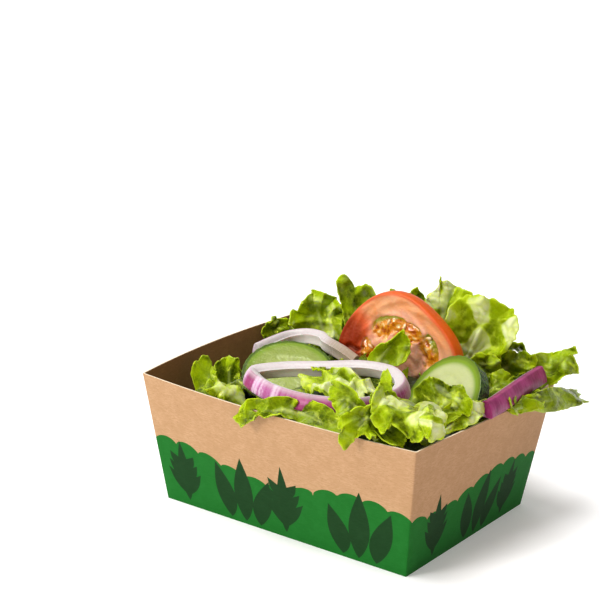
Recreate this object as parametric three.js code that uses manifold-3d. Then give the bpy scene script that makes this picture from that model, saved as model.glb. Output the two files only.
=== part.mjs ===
// A side salad in an open board box with sloping walls: a heap of green leaf lettuce with a
// slice of tomato, two slices of cucumber and three pieces of red onion on it.
// Millimetres, +Z up. The origin is the centre of the underside of the box, +X runs along
// the long side, and the long wall that faces the viewer is at -Y.

import * as THREE from "three";
import { mergeVertices } from "three/addons/utils/BufferGeometryUtils.js";
import Module from "manifold-3d";

const wasm = await Module();
wasm.setup();

// ---- Box: size across the rim, and how far each wall leans in at the bottom ----
const RIM_LENGTH = 130;
const RIM_WIDTH = 109;
const BOX_HEIGHT = 55.5;
const END_LEAN = 6.8;
const SIDE_LEAN = 9.4;
const BOARD = 0.6;
const SIDE_BOW = 4.3; // outward bow of the long walls at the rim
const NEAR_END_BOW = 3.75; // the short wall at -X
const FAR_END_BOW = 3.9; // the short wall at +X, bowed most towards +Y
const FAR_END_SKEW = 0.8;
const BOW_GROWTH = 1.5; // the bow fades to nothing at the bottom fold by this power
const WALL_STEPS = 6;
const HEIGHT_STEPS = 3;

// ---- Lettuce: the bare core of the heap, and the leaves that show ----
const CORE_GAP = 0.8; // from the board
const CORE_TOP = 51; // general level of the core
const CORE_DOME = { x: 16, y: 0, rise: 10, spread: 33 };
const CORE_HOLLOW = { from: -38, to: -52, depth: 13 }; // the end that holds less
const CORE_FALL = 7; // at the walls
const CORE_LUMP = 3;
const CORE_CELLS = [11, 9, 1];
const CLEAR_OVER_SLICE = { depth: 16, widening: 3 }; // the heap's clearance over a cut face
const PIECE_GAP = 0.35; // kept between neighbouring pieces

// ---- Toppings. Each wave of a slice's uneven outline has its number of crests to a turn, its
// height as a share of the radius, and its phase ----
const TOMATO = {
  radius: 28, thickness: 8.5, skinBulge: 0.6, segments: 38,
  waves: [{ crests: 2, height: 0.034, phase: 2.23 }, { crests: 4, height: 0.03, phase: 0.96 }],
};
const LOCULES = { count: 5, inner: 8, outer: 20, halfAngle: 25, first: 15, depth: 1.8, sides: 12 };
const CUCUMBER = {
  radius: 19.2, thickness: 6, edge: 0.7, segments: 36,
  waves: [{ crests: 2, height: 0.012, phase: 0.6 }, { crests: 3, height: 0.008, phase: 0 }],
};

// ---- Red onion: each piece by the upper outer edge of its wall, which runs clockwise ----
const ONION_BULGE = 0.5;
const FRONT_RING = {
  closed: true, height: 6.3, wall: 4.2, flare: 2.3, steps: 40,
  edge: [
    [-23.5, -38, 63.8], [-16, -28.5, 65], [-1, -19.5, 66.5], [13, -11.5, 67.9], [27, -10.5, 68.3],
    [37, -18.5, 67.6], [39.5, -29, 66.8], [34, -40, 65.2], [22, -46.5, 64], [7, -49.5, 63.4],
    [-11, -46.5, 63.3],
  ],
};
const BACK_ARC = {
  closed: false, height: 6.4, wall: 3.4, flare: 0.8, steps: 16,
  edge: [
    [-50.7, 2, 57.2], [-49.8, 12, 58], [-47.6, 21.5, 58.8], [-41, 26.5, 60], [-31, 24.6, 61.3],
    [-22.6, 17.4, 62.4], [-9.8, 10.4, 63], [-1.2, 7, 61.8],
  ],
};
const RIGHT_STRIP = {
  closed: false, height: 6.5, wall: 4.2, flare: 2.3, steps: 12,
  edge: [[65.3, 41, 63.6], [66, 29.5, 63.6], [67.4, 13, 63.6], [68.6, 1, 63.6], [69, -10, 63.6]],
};

const KRAFT = { color: 0xd0a47c, roughness: 0.85, metalness: 0 };
const LETTUCE = { color: 0x8fb52e, roughness: 0.45, metalness: 0 };
const TOMATO_RED = { color: 0xd9532f, roughness: 0.3, metalness: 0 };
const CUCUMBER_GREEN = { color: 0xbccb74, roughness: 0.35, metalness: 0 };
const ONION_PURPLE = { color: 0xa9558e, roughness: 0.35, metalness: 0 };

// ---- Leaves: root, middle and tip of the rib, the width, and the way the upper face looks.
// The margin stands up in a number of waves as high as the frill, and the leaf is cupped ----
const TOWARDS_VIEWER = [0.45, -0.8, 0.4];
const UPWARDS = [0.15, -0.35, 0.92];
const SMOOTH = { frill: 1, waves: 2 };
const leaf = (root, middle, tip, width, face, shape = {}) => ({
  root, middle, tip, width, face, cup: 2, frill: 2.4, waves: 5, ...shape,
});
const LEAVES = {
  backLeftCurl: leaf([-46, 34, 38], [-54, 32, 51], [-60, 28, 60], 17, [0.3, -0.6, 0.7], { cup: -3 }),
  backLeftFrill: leaf([-36, 42, 45], [-44, 41, 59], [-48, 42, 72], 32, TOWARDS_VIEWER, { frill: 3.2 }),
  backTall: leaf([-14, 37, 47], [-22, 38, 65], [-31, 38, 82], 24, TOWARDS_VIEWER, { frill: 3.2 }),
  behindTomato: leaf([-2, 32, 50], [2, 35, 70], [4, 38, 84], 22, TOWARDS_VIEWER, { waves: 4 }),
  backPale: leaf([22, 30, 50], [19, 35, 72], [14, 39, 90], 27, TOWARDS_VIEWER, { frill: 3, cup: 4 }),
  backBroad: leaf([30, 26, 50], [38, 34, 69], [48, 41, 87], 40, [0.3, -0.85, 0.4], { cup: 5 }),
  farCornerDark: leaf([36, 28, 48], [50, 37, 60], [57, 44, 66], 24, [0.2, -0.75, 0.6]),
  farCornerTip: leaf([42, 34, 48], [60, 45, 57], [76, 50, 63.5], 20, [0.1, -0.85, 0.5], { cup: 3 }),
  overFarWall: leaf([50, 36, 46], [67, 40, 60.5], [75, 46, 50], 34, [0.6, -0.1, 0.8], { frill: 1.8 }),
  innerRight: leaf([38, 20, 49], [46, 24, 60], [50, 28, 67], 17, TOWARDS_VIEWER, { waves: 4 }),
  rightBright: leaf([48, 16, 48], [55, 19, 57], [60, 24, 63], 15, UPWARDS, { cup: -2, waves: 3 }),
  frontSpike: leaf([47, -38, 47], [44, -42, 62], [37, -34, 74.5], 13, TOWARDS_VIEWER, { waves: 3 }),
  frontLobe: leaf([44, -43, 47], [35, -50, 64.5], [22, -50, 67], 15, TOWARDS_VIEWER, { waves: 4 }),
  frontDrop: leaf([46, -36, 47], [43, -54, 63], [38, -62.5, 52], 20, [0.35, -0.75, 0.55], { frill: 2 }),
  frontMiddle: leaf([44, -26, 48], [50, -41, 66], [52, -55, 60], 26, [0.3, -0.6, 0.75], { frill: 3 }),
  paleFold: leaf([53, -28, 46], [62, -39, 68], [67, -52, 58.5], 20, [0.4, -0.4, 0.82], { cup: -4 }),
  rightFrill: leaf([49, -32, 46], [56, -24, 61], [61, -18, 68.5], 25, [0.2, -0.85, 0.5], { frill: 2.6 }),
  rightTwist: leaf([52, -34, 47], [60, -22, 59], [67, -9, 64], 14, [0.5, -0.5, 0.7], { waves: 4 }),
  underCorner: leaf([28, -40, 48], [44, -47, 58], [59, -50, 56.5], 16, UPWARDS, { frill: 1.4, waves: 3 }),
  overFrontWall: leaf([20, -42, 45], [4, -56.5, 57.6], [-8, -63, 49], 16, [0.1, -0.6, 0.8], { frill: 1.8 }),
  frontDark: leaf([-6, -36, 46], [9, -50, 54], [26, -53, 55], 12, UPWARDS, { frill: 1, waves: 3 }),
  leftSmooth: leaf([-38, -28, 37], [-49, -30, 47], [-53, -23, 57], 20, TOWARDS_VIEWER, SMOOTH),
  leftFrill: leaf([-34, -32, 41], [-41, -28, 51], [-41, -24, 60], 18, TOWARDS_VIEWER, { frill: 2.6 }),
  leftCurl: leaf([-18, -41, 45], [-29, -46, 55], [-39, -47, 53], 18, [0, -0.5, 0.86], { cup: -3 }),
  insideRing: leaf([20, -17, 52], [8, -25, 61], [-5, -34, 58], 22, [0.2, -0.5, 0.85], { frill: 1.6 }),
  tomatoFront: leaf([6, 2, 53], [11, 6, 65], [19, 8, 75], 13, TOWARDS_VIEWER, { waves: 3, frill: 1.6 }),
  leftFloor: leaf([-42, 4, 34], [-51, 3, 38], [-59, 1, 35], 26, [-0.2, -0.2, 0.9], { frill: 1.6 }),
  leftBack: leaf([-42, 26, 36], [-50, 29, 43], [-56, 36, 40], 24, [-0.2, -0.2, 0.9], { frill: 2 }),
  underStrip: leaf([54, 14, 46], [67.6, 14, 57], [72.6, 12, 50.5], 26, [0.6, 0, 0.8], { frill: 1.6 }),
  backLeftCorner: leaf([-40, 38, 42], [-50, 44, 51], [-57, 49, 50], 22, [-0.4, 0.4, 0.8], { frill: 2.4 }),
  backWallLeft: leaf([-26, 38, 44], [-24, 46, 58], [-22, 55, 62], 30, [0, 0.75, 0.65], { frill: 2.6 }),
  backWallMiddle: leaf([6, 34, 47], [10, 45, 62], [14, 54, 70], 30, [0, 0.75, 0.65], { frill: 2.8 }),
  backWallRight: leaf([34, 36, 47], [40, 46, 60], [44, 55, 65], 28, [0.2, 0.75, 0.65], { frill: 2.6 }),
  behindTop: leaf([-8, 28, 49], [-9, 35, 64], [-14, 43, 73], 24, [0, 0.5, 0.85], { frill: 2.4 }),
  overBackWall: leaf([22, 42, 44], [27, 57, 57.8], [30, 65, 50], 20, [0, 0.6, 0.8], { frill: 2 }),
};
const LEAF_THICKNESS = 1.0;
const LEAF_TAPER = 0.22; // how much narrower the leaf is halfway down to its root
const OUTLINE_LOBE = 0.07; // shares of the outline's radius
const OUTLINE_SCALLOP = 0.08;
const FRILL_GROWTH = 2.5; // the frill grows from the rib to the margin by this power
const FRILL_AT_ROOT = 0.35; // as a share of the frill at the tip
const FRILL_SWAY = 0.4; // how far the frill folds over itself, as a share of its height
const BUCKLE = { height: 1.1, along: 2.7, across: 2.3 };
const LEAF_CELL = 4.2; // the facets of a leaf go by its width, within these limits
const LEAF_CELLS = { fewest: 4, most: 6 };

// ---- Small helpers ----
const radians = THREE.MathUtils.degToRad;
const smoothstep = THREE.MathUtils.smoothstep;
const vector = (xyz) => new THREE.Vector3(...xyz);

// A fraction from 0 to 1 that looks random but is the same each time.
function hashed(seed, index) {
  const value = Math.sin(seed * 12.9898 + index * 78.233) * 43758.5453;
  return value - Math.floor(value);
}

// A closed geometry as a manifold solid.
function toSolid(geometry) {
  const bare = geometry.clone();
  bare.deleteAttribute("normal");
  bare.deleteAttribute("uv");
  const merged = mergeVertices(bare, 1e-4);
  const vertProperties = new Float32Array(merged.attributes.position.array);
  const triVerts = new Uint32Array(merged.index.array);
  return new wasm.Manifold(new wasm.Mesh({ numProp: 3, vertProperties, triVerts }));
}

// A manifold solid as a geometry with flat facets.
function toGeometry(solid) {
  const { vertProperties, triVerts } = solid.getMesh();
  const geometry = new THREE.BufferGeometry();
  geometry.setAttribute("position", new THREE.BufferAttribute(vertProperties, 3));
  geometry.setIndex(new THREE.BufferAttribute(triVerts, 1));
  const facets = geometry.toNonIndexed();
  facets.computeVertexNormals();
  return facets;
}

// The largest of the separate bodies of a solid.
function largestBody(solid) {
  const bodies = solid.decompose();
  return bodies.reduce((best, body) => (body.volume() > best.volume() ? body : best));
}

// Moves every vertex of a geometry by a function of its place.
function reshape(geometry, move) {
  const places = geometry.attributes.position;
  const place = new THREE.Vector3();
  for (let i = 0; i < places.count; i++) {
    place.fromBufferAttribute(places, i);
    move(place);
    places.setXYZ(i, place.x, place.y, place.z);
  }
  return geometry;
}

// ---- Box ----

// Where the outer face of a wall is: across and along run from -1 to 1 over the plan, and
// height from the underside. Beyond the walls it gives the places next to them.
function boxPlace(across, along, height) {
  const share = Math.max(height, 0) / BOX_HEIGHT;
  const bowShare = share ** BOW_GROWTH;
  const halfLength = RIM_LENGTH / 2 - END_LEAN * (1 - share);
  const halfWidth = RIM_WIDTH / 2 - SIDE_LEAN * (1 - share);
  const endBow = across > 0 ? FAR_END_BOW * (1 + FAR_END_SKEW * along) : NEAR_END_BOW;
  return new THREE.Vector3(
    across * (halfLength + endBow * bowShare * (1 - along ** 2)),
    along * (halfWidth + SIDE_BOW * bowShare * (1 - across ** 2)),
    height,
  );
}

// The space inside a face that lies this far in from the outer face of the walls.
function boxSpace(inset, low, high) {
  const geometry = new THREE.BoxGeometry(2, 2, 1, WALL_STEPS, WALL_STEPS, HEIGHT_STEPS);
  return reshape(geometry, (place) => {
    const height = low + (high - low) * (place.z + 0.5);
    const across = place.x * (1 - inset / (RIM_LENGTH / 2 - END_LEAN));
    const along = place.y * (1 - inset / (RIM_WIDTH / 2 - SIDE_LEAN));
    place.copy(boxPlace(across, along, height));
  });
}

function boxSolid(grow = 0) {
  const outside = toSolid(boxSpace(-grow, -grow, BOX_HEIGHT + grow));
  const inside = toSolid(boxSpace(BOARD + grow, BOARD + grow, BOX_HEIGHT + 2));
  return outside.subtract(inside);
}

// ---- Toppings: each is made round its own Z axis, grown by the gap where it cuts ----

function discGeometry(outline, segments) {
  const profile = outline.map(([radius, z]) => new THREE.Vector2(radius, z));
  return new THREE.LatheGeometry(profile, segments).rotateX(Math.PI / 2);
}

// Gives a round slice its uneven outline.
function unevenSlice(geometry, waves) {
  return reshape(geometry, (place) => {
    const angle = Math.atan2(place.y, place.x);
    const rises = waves.map(({ crests, height, phase }) => height * Math.sin(crests * angle + phase));
    const stretch = rises.reduce((sum, rise) => sum + rise, 1);
    place.x *= stretch;
    place.y *= stretch;
  });
}

// A slice with its cut face at Z = 0 and its thickness below it.
function cucumberGeometry(grow = 0) {
  const { radius, thickness, edge, segments } = CUCUMBER;
  const outer = radius + grow;
  const low = -thickness - grow;
  const profile = [
    [0, low], [outer - edge, low], [outer, low + edge], [outer, grow - edge], [outer - edge, grow],
    [0, grow],
  ];
  return unevenSlice(discGeometry(profile, segments), CUCUMBER.waves);
}

function tomatoGeometry(grow = 0) {
  const { radius, thickness, skinBulge, segments } = TOMATO;
  const outer = radius + grow;
  const low = -thickness - grow;
  const profile = [
    [0, low], [outer - 2, low], [outer + skinBulge * 0.4, low * 0.72], [outer + skinBulge, low * 0.4],
    [outer + 0.5, grow - 0.8], [outer - 0.6, grow], [0, grow],
  ];
  return unevenSlice(discGeometry(profile, segments), TOMATO.waves);
}

// One seed chamber: a sector with rounded corners, cut down into the face of the tomato.
function loculeGeometry(index) {
  const { count, inner, outer, halfAngle, first, depth, sides } = LOCULES;
  const middle = radians(first + (index * 360) / count);
  const centre = (inner + outer) / 2;
  const squarer = (part) => Math.sign(part) * Math.sqrt(Math.abs(part));
  const shape = new THREE.Shape();
  for (let i = 0; i < sides; i++) {
    const turn = (i / sides) * 2 * Math.PI;
    const radius = centre + (squarer(Math.cos(turn)) * (outer - inner)) / 2;
    const angle = middle + squarer(Math.sin(turn)) * radians(halfAngle);
    shape[i ? "lineTo" : "moveTo"](radius * Math.cos(angle), radius * Math.sin(angle));
  }
  const geometry = new THREE.ExtrudeGeometry(shape, { depth: 2 * depth, bevelEnabled: false });
  return geometry.translate(0, 0, -depth);
}

function tomatoSolid() {
  let solid = toSolid(tomatoGeometry());
  for (let i = 0; i < LOCULES.count; i++) solid = solid.subtract(toSolid(loculeGeometry(i)));
  return solid;
}

// A wall of one onion layer along its upper outer edge. It leans out by the flare on its way
// down, and outwards is to the left of the way that the edge runs.
function onionGeometry({ edge, closed, height, wall, flare, steps }, grow = 0) {
  const low = -height - grow;
  const section = [
    [grow, grow], [flare / 2 + ONION_BULGE + grow, -height / 2], [flare + grow, low],
    [flare - wall - grow, low], [-wall - grow, grow],
  ];
  const curve = new THREE.CatmullRomCurve3(edge.map(vector), closed);
  const rows = closed ? steps : steps + 1;
  const places = [];
  for (let i = 0; i < rows; i++) {
    const along = curve.getTangentAt(i / steps);
    const spare = closed ? 0 : grow * ((2 * i) / steps - 1);
    const start = curve.getPointAt(i / steps).addScaledVector(along, spare);
    const out = new THREE.Vector3(-along.y, along.x, 0).normalize();
    for (const [aside, rise] of section)
      places.push(start.x + out.x * aside, start.y + out.y * aside, start.z + rise);
  }
  const sides = section.length;
  const faces = [];
  for (let i = 0; i < steps; i++)
    for (let k = 0; k < sides; k++) {
      const [a, b] = [i * sides + k, i * sides + ((k + 1) % sides)];
      const [c, d] = [a, b].map((corner) => (corner + sides) % (rows * sides));
      faces.push(a, d, b, a, c, d);
    }
  if (!closed)
    for (let k = 1; k < sides - 1; k++) {
      const last = steps * sides;
      faces.push(0, k, k + 1, last, last + k + 1, last + k);
    }
  const geometry = new THREE.BufferGeometry();
  geometry.setAttribute("position", new THREE.Float32BufferAttribute(places, 3));
  return geometry.setIndex(faces);
}

// An onion piece as a topping: its edge already says where it lies.
const onionTopping = (name, form) => ({
  name, make: (grow) => onionGeometry(form, grow), material: ONION_PURPLE,
  at: [0, 0, 0], axis: [0, 0, 1], turn: 0,
});

// Each topping: its shape, its material, where its own origin goes, and the way its Z axis
// points, turned about that axis by an angle in degrees.
const TOPPINGS = [
  {
    name: "tomato_slice", make: tomatoGeometry, solid: tomatoSolid, material: TOMATO_RED,
    at: [11.4, 15.6, 60], axis: [-0.02, -0.99, 0.08], turn: 0,
  },
  {
    name: "cucumber_slice_left", make: cucumberGeometry, material: CUCUMBER_GREEN,
    at: [-24.4, -9.9, 53.2], axis: [0.218, -0.38, 0.899], turn: 0,
  },
  {
    name: "cucumber_slice_right", make: cucumberGeometry, material: CUCUMBER_GREEN,
    at: [44.2, -2.6, 56.8], axis: [-0.305, -0.719, 0.625], turn: 40,
  },
  onionTopping("onion_ring_front", FRONT_RING),
  onionTopping("onion_arc_back", BACK_ARC),
  onionTopping("onion_strip_right", RIGHT_STRIP),
];

// The turn that takes Z to an axis, keeping X as level as it can be, after a turn about Z.
function standing(axis, turn) {
  const up = vector(axis).normalize();
  const level = new THREE.Vector3(0, 1, 0).addScaledVector(up, -up.y);
  if (level.length() < 0.5) level.set(0, 0, 1).addScaledVector(up, -up.z);
  level.normalize();
  const basis = new THREE.Matrix4().makeBasis(level.clone().cross(up), level, up);
  const spin = new THREE.Quaternion().setFromAxisAngle(new THREE.Vector3(0, 0, 1), radians(turn));
  return new THREE.Quaternion().setFromRotationMatrix(basis).multiply(spin);
}

function toppingMesh(topping) {
  const solid = topping.solid ? topping.solid() : toSolid(topping.make());
  const mesh = new THREE.Mesh(toGeometry(solid), new THREE.MeshStandardMaterial(topping.material));
  mesh.name = topping.name;
  mesh.position.set(...topping.at);
  mesh.quaternion.copy(standing(topping.axis, topping.turn));
  mesh.updateMatrix();
  return mesh;
}

// ---- Lettuce heap ----

// The level of the bare core: a dome that falls away to the walls and to the end that holds less.
function coreTop(across, along) {
  const { x, y } = boxPlace(across, along, CORE_TOP);
  const { x: domeX, y: domeY, rise, spread } = CORE_DOME;
  const dome = rise * Math.exp(-((x - domeX) ** 2 + (y - domeY) ** 2) / (2 * spread ** 2));
  const hollow = CORE_HOLLOW.depth * (1 - smoothstep(x, CORE_HOLLOW.to, CORE_HOLLOW.from));
  const fall = CORE_FALL * Math.max(Math.abs(across), Math.abs(along)) ** 6;
  const lumps = CORE_LUMP * Math.sin(x / 5.1 + 1) * Math.sin(y / 4.6 + 0.5);
  return CORE_TOP + dome - hollow - fall + lumps;
}

function coreSolid() {
  const geometry = new THREE.BoxGeometry(2, 2, 1, ...CORE_CELLS);
  const inset = BOARD + CORE_GAP;
  reshape(geometry, (place) => {
    const across = place.x * (1 - inset / (RIM_LENGTH / 2 - END_LEAN));
    const along = place.y * (1 - inset / (RIM_WIDTH / 2 - SIDE_LEAN));
    const low = BOARD + PIECE_GAP;
    const share = place.z + 0.5;
    place.copy(boxPlace(across, along, low + share * (coreTop(across, along) - low)));
  });
  return toSolid(geometry);
}

// The space in front of a slice's cut face, which the heap keeps clear.
function spaceOverSlice(mesh, { radius, segments }) {
  const { depth, widening } = CLEAR_OVER_SLICE;
  const space = new THREE.CylinderGeometry(radius + widening, radius, depth, segments);
  space.rotateX(Math.PI / 2);
  space.translate(0, 0, depth / 2);
  return toSolid(space.applyMatrix4(mesh.matrix));
}

// Where a point of a leaf is. p runs along the rib and q across it, both within the unit disc.
function leafPlace(form, seed, p, q, side) {
  const phase = (index) => 2 * Math.PI * hashed(seed, index);
  const radius = Math.min(Math.hypot(p, q), 1);
  const angle = Math.atan2(q, p);
  const lobes = Math.sin(2 * angle + phase(1)) + Math.sin(3 * angle + phase(2));
  const scallops = Math.abs(Math.sin(2.5 * angle + phase(3))) - 2 / Math.PI;
  const outline = 1 + OUTLINE_LOBE * lobes + OUTLINE_SCALLOP * scallops;
  const towardsTip = 0.5 + 0.5 * Math.cos(angle);
  const margin = radius ** FRILL_GROWTH * (FRILL_AT_ROOT + (1 - FRILL_AT_ROOT) * towardsTip);
  const wave = form.waves * angle + phase(4) + 0.7 * Math.sin(angle + phase(5));
  const along = p * outline;
  const reach = THREE.MathUtils.clamp((1 + along) / 2, 0, 1.06);

  const [root, middle, tip] = [vector(form.root), vector(form.middle), vector(form.tip)];
  const rib = root.clone().multiplyScalar((1 - reach) * (1 - 2 * reach))
    .addScaledVector(middle, 4 * reach * (1 - reach))
    .addScaledVector(tip, reach * (2 * reach - 1));
  const heading = root.clone().multiplyScalar(4 * reach - 3)
    .addScaledVector(middle, 4 - 8 * reach)
    .addScaledVector(tip, 4 * reach - 1).normalize();
  const across = vector(form.face).cross(heading).normalize();
  const normal = heading.clone().cross(across);

  const halfWidth = (form.width / 2) * (1 - LEAF_TAPER * (1 - p));
  const sway = FRILL_SWAY * form.frill * margin * Math.sin(2 * wave);
  const buckle = Math.sin(BUCKLE.along * p + phase(6)) * Math.sin(BUCKLE.across * q + phase(7));
  const lift = form.frill * margin * Math.sin(wave) + form.cup * q ** 2 + BUCKLE.height * buckle;
  return rib.addScaledVector(across, q * outline * halfWidth + sway * Math.cos(angle))
    .addScaledVector(heading, -sway * Math.sin(angle))
    .addScaledVector(normal, lift + side * LEAF_THICKNESS / 2);
}

// A thin wavy solid: a square grid drawn in to a disc, with both faces split alike.
function leafSolid(form, seed) {
  const { fewest, most } = LEAF_CELLS;
  const cells = THREE.MathUtils.clamp(Math.round(form.width / LEAF_CELL), fewest, most);
  const row = cells + 1;
  const places = [];
  for (const side of [1, -1])
    for (let j = 0; j < row; j++)
      for (let i = 0; i < row; i++) {
        const a = (2 * i) / cells - 1;
        const b = (2 * j) / cells - 1;
        const p = a * Math.sqrt(1 - (b * b) / 2);
        const q = b * Math.sqrt(1 - (a * a) / 2);
        places.push(...leafPlace(form, seed, p, q, side).toArray());
      }
  const faces = [];
  const under = row * row;
  for (let j = 0; j < cells; j++)
    for (let i = 0; i < cells; i++) {
      const [a, b, c, d] = [j * row + i, j * row + i + 1, (j + 1) * row + i + 1, (j + 1) * row + i];
      faces.push(a, b, c, a, c, d);
      faces.push(under + a, under + c, under + b, under + a, under + d, under + c);
    }
  const rim = [];
  for (let i = 0; i < cells; i++) rim.push(i);
  for (let j = 0; j < cells; j++) rim.push(j * row + cells);
  for (let i = cells; i > 0; i--) rim.push(cells * row + i);
  for (let j = cells; j > 0; j--) rim.push(j * row);
  rim.forEach((from, k) => {
    const to = rim[(k + 1) % rim.length];
    faces.push(from, under + from, under + to, from, under + to, to);
  });
  const geometry = new THREE.BufferGeometry();
  geometry.setAttribute("position", new THREE.Float32BufferAttribute(places, 3));
  geometry.setIndex(faces);
  return toSolid(geometry);
}

function heapSolid(toppings) {
  let heap = coreSolid();
  const left = toppings.find((mesh) => mesh.name === "cucumber_slice_left");
  heap = heap.subtract(spaceOverSlice(left, CUCUMBER));
  Object.values(LEAVES).forEach((form, index) => {
    heap = heap.add(leafSolid(form, index + 1));
  });
  heap = heap.subtract(boxSolid(PIECE_GAP));
  toppings.forEach((mesh, index) => {
    const grown = TOPPINGS[index].make(PIECE_GAP).applyMatrix4(mesh.matrix);
    heap = heap.subtract(toSolid(grown));
  });
  return largestBody(heap);
}

// ---- The whole salad ----

const salad = new THREE.Group();

const boxMesh = new THREE.Mesh(toGeometry(boxSolid()), new THREE.MeshStandardMaterial(KRAFT));
boxMesh.name = "box";
salad.add(boxMesh);

const toppingMeshes = TOPPINGS.map(toppingMesh);
toppingMeshes.forEach((mesh) => salad.add(mesh));

const heapMesh = new THREE.Mesh(
  toGeometry(heapSolid(toppingMeshes)),
  new THREE.MeshStandardMaterial(LETTUCE),
);
heapMesh.name = "lettuce_heap";
salad.add(heapMesh);

export default salad;
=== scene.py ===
"""A side salad in an open board box: green leaf lettuce with a slice of tomato, two slices of
cucumber and three pieces of red onion. Shapes are worked out in millimetres, in the part's frame:
the origin is the centre of the underside of the box, +X runs along the long side, and the long
wall that faces the viewer is at -Y."""

import math

import bpy
import numpy as np
from mathutils import Matrix, Vector
from mathutils.bvhtree import BVHTree
from mathutils.geometry import delaunay_2d_cdt

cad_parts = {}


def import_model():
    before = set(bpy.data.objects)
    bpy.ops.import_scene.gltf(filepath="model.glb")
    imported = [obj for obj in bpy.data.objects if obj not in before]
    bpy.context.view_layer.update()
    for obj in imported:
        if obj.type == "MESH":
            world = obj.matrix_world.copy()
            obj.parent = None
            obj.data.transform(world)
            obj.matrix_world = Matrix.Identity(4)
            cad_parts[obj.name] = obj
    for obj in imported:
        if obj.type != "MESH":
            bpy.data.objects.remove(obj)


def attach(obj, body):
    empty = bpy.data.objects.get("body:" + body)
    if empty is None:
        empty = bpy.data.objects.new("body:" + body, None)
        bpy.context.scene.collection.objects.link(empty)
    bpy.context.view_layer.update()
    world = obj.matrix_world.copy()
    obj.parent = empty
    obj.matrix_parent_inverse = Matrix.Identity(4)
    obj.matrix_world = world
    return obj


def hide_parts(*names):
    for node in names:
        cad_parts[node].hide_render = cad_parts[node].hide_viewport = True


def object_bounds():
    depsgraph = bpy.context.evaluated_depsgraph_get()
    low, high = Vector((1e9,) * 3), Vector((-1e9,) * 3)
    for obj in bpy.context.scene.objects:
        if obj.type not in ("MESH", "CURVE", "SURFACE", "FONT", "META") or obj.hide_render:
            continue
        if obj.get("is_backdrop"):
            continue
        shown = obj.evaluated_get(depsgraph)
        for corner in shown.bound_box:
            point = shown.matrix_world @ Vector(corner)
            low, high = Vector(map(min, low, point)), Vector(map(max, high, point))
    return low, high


MM = 0.001

# ---- Camera, in degrees, millimetres and pixels of a square image ----
VIEW_AZIMUTH = 34.62
VIEW_ELEVATION = 17.28
VIEW_ROLL = 2.3
VIEW_DISTANCE = 946
VIEW_TARGET = (-130.5, 150.1, 25)
FOCAL_PX = 1839
IMAGE_PX = 600
SENSOR = 36
CLIP = (0.01, 20)  # in metres

# ---- Box: size across the rim, and how far each wall leans in at the bottom ----
RIM_LENGTH = 130
RIM_WIDTH = 109
BOX_HEIGHT = 55.5
END_LEAN = 6.8
SIDE_LEAN = 9.4
BOARD = 0.6
SIDE_BOW = 4.3
NEAR_END_BOW = 3.75
FAR_END_BOW = 3.9
FAR_END_SKEW = 0.8
BOW_GROWTH = 1.5
CORNER_ROUND = 0.011  # of the vertical folds, as a share of half a wall
PERIMETER = 2 * (RIM_LENGTH + RIM_WIDTH)

# ---- Lettuce core ----
CORE_GAP = 0.8
CORE_FLOOR_GAP = 0.35
CORE_TOPPING_GAP = 0.6
CORE_ROWS = 60
CORE_COLUMNS = 72
CORE_TOP = 48
CORE_DOME = {"x": 16, "y": 0, "rise": 9, "spread": 33}
CORE_HOLLOW = {"from": -38, "to": -52, "depth": 13}
CORE_FALL = 7
CORE_LUMP = 3

# ---- Toppings ----
TOMATO_RADIUS = 28
TOMATO_THICKNESS = 8.5
TOMATO_BULGE = 0.6
CUCUMBER_RADIUS = 19.2
CUCUMBER_THICKNESS = 6


def hashed(seed, index):
    """A fraction from 0 to 1 that looks random but is the same each time."""
    value = math.sin(seed * 12.9898 + index * 78.233) * 43758.5453
    return value - math.floor(value)


def smoothstep(low, high, value):
    share = np.clip((value - low) / (high - low), 0, 1)
    return share * share * (3 - 2 * share)


def unit(vectors):
    return vectors / np.maximum(np.linalg.norm(vectors, axis=-1, keepdims=True), 1e-9)


# ---- Meshes ----


def mesh_object(name, points, faces, materials, picks=None, fields=None):
    """A mesh object from points in millimetres. picks is each face's material, and fields are
    numbers at the points that the materials read."""
    mesh = bpy.data.meshes.new(name)
    mesh.from_pydata((np.asarray(points) * MM).tolist(), [], [list(face) for face in faces])
    for material in materials:
        mesh.materials.append(material)
    if picks is not None:
        mesh.polygons.foreach_set("material_index", np.asarray(picks, dtype=np.int32))
    for field, values in (fields or {}).items():
        layer = mesh.attributes.new(field, "FLOAT", "POINT")
        layer.data.foreach_set("value", np.asarray(values, dtype=np.float32).ravel())
    mesh.polygons.foreach_set("use_smooth", np.ones(len(mesh.polygons), dtype=bool))
    mesh.update()
    piece = bpy.data.objects.new(name, mesh)
    bpy.context.scene.collection.objects.link(piece)
    return piece


def joined(parts):
    """Points, faces and fields of several (points, faces, fields) as one."""
    points, faces, fields = [], [], {}
    start = 0
    for part_points, part_faces, part_fields in parts:
        points.append(part_points)
        faces.append(np.asarray(part_faces) + start)
        for field, values in part_fields.items():
            fields.setdefault(field, []).append(np.ravel(values))
        start += len(part_points)
    merged = {field: np.concatenate(values) for field, values in fields.items()}
    return np.concatenate(points), np.concatenate(faces), merged


def ring_faces(rows, columns, first=0):
    """Quads of a band of rows of points, each row closed to a ring."""
    row, column = np.meshgrid(np.arange(rows - 1), np.arange(columns), indexing="ij")
    following = (column + 1) % columns
    corners = [row * columns + column, row * columns + following]
    corners += [(row + 1) * columns + following, (row + 1) * columns + column]
    return np.stack(corners, axis=-1).reshape(-1, 4) + first


def grid_faces(rows, columns):
    row, column = np.meshgrid(np.arange(rows - 1), np.arange(columns - 1), indexing="ij")
    corners = [row * columns + column, row * columns + column + 1]
    corners += [(row + 1) * columns + column + 1, (row + 1) * columns + column]
    return np.stack(corners, axis=-1).reshape(-1, 4)


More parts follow.
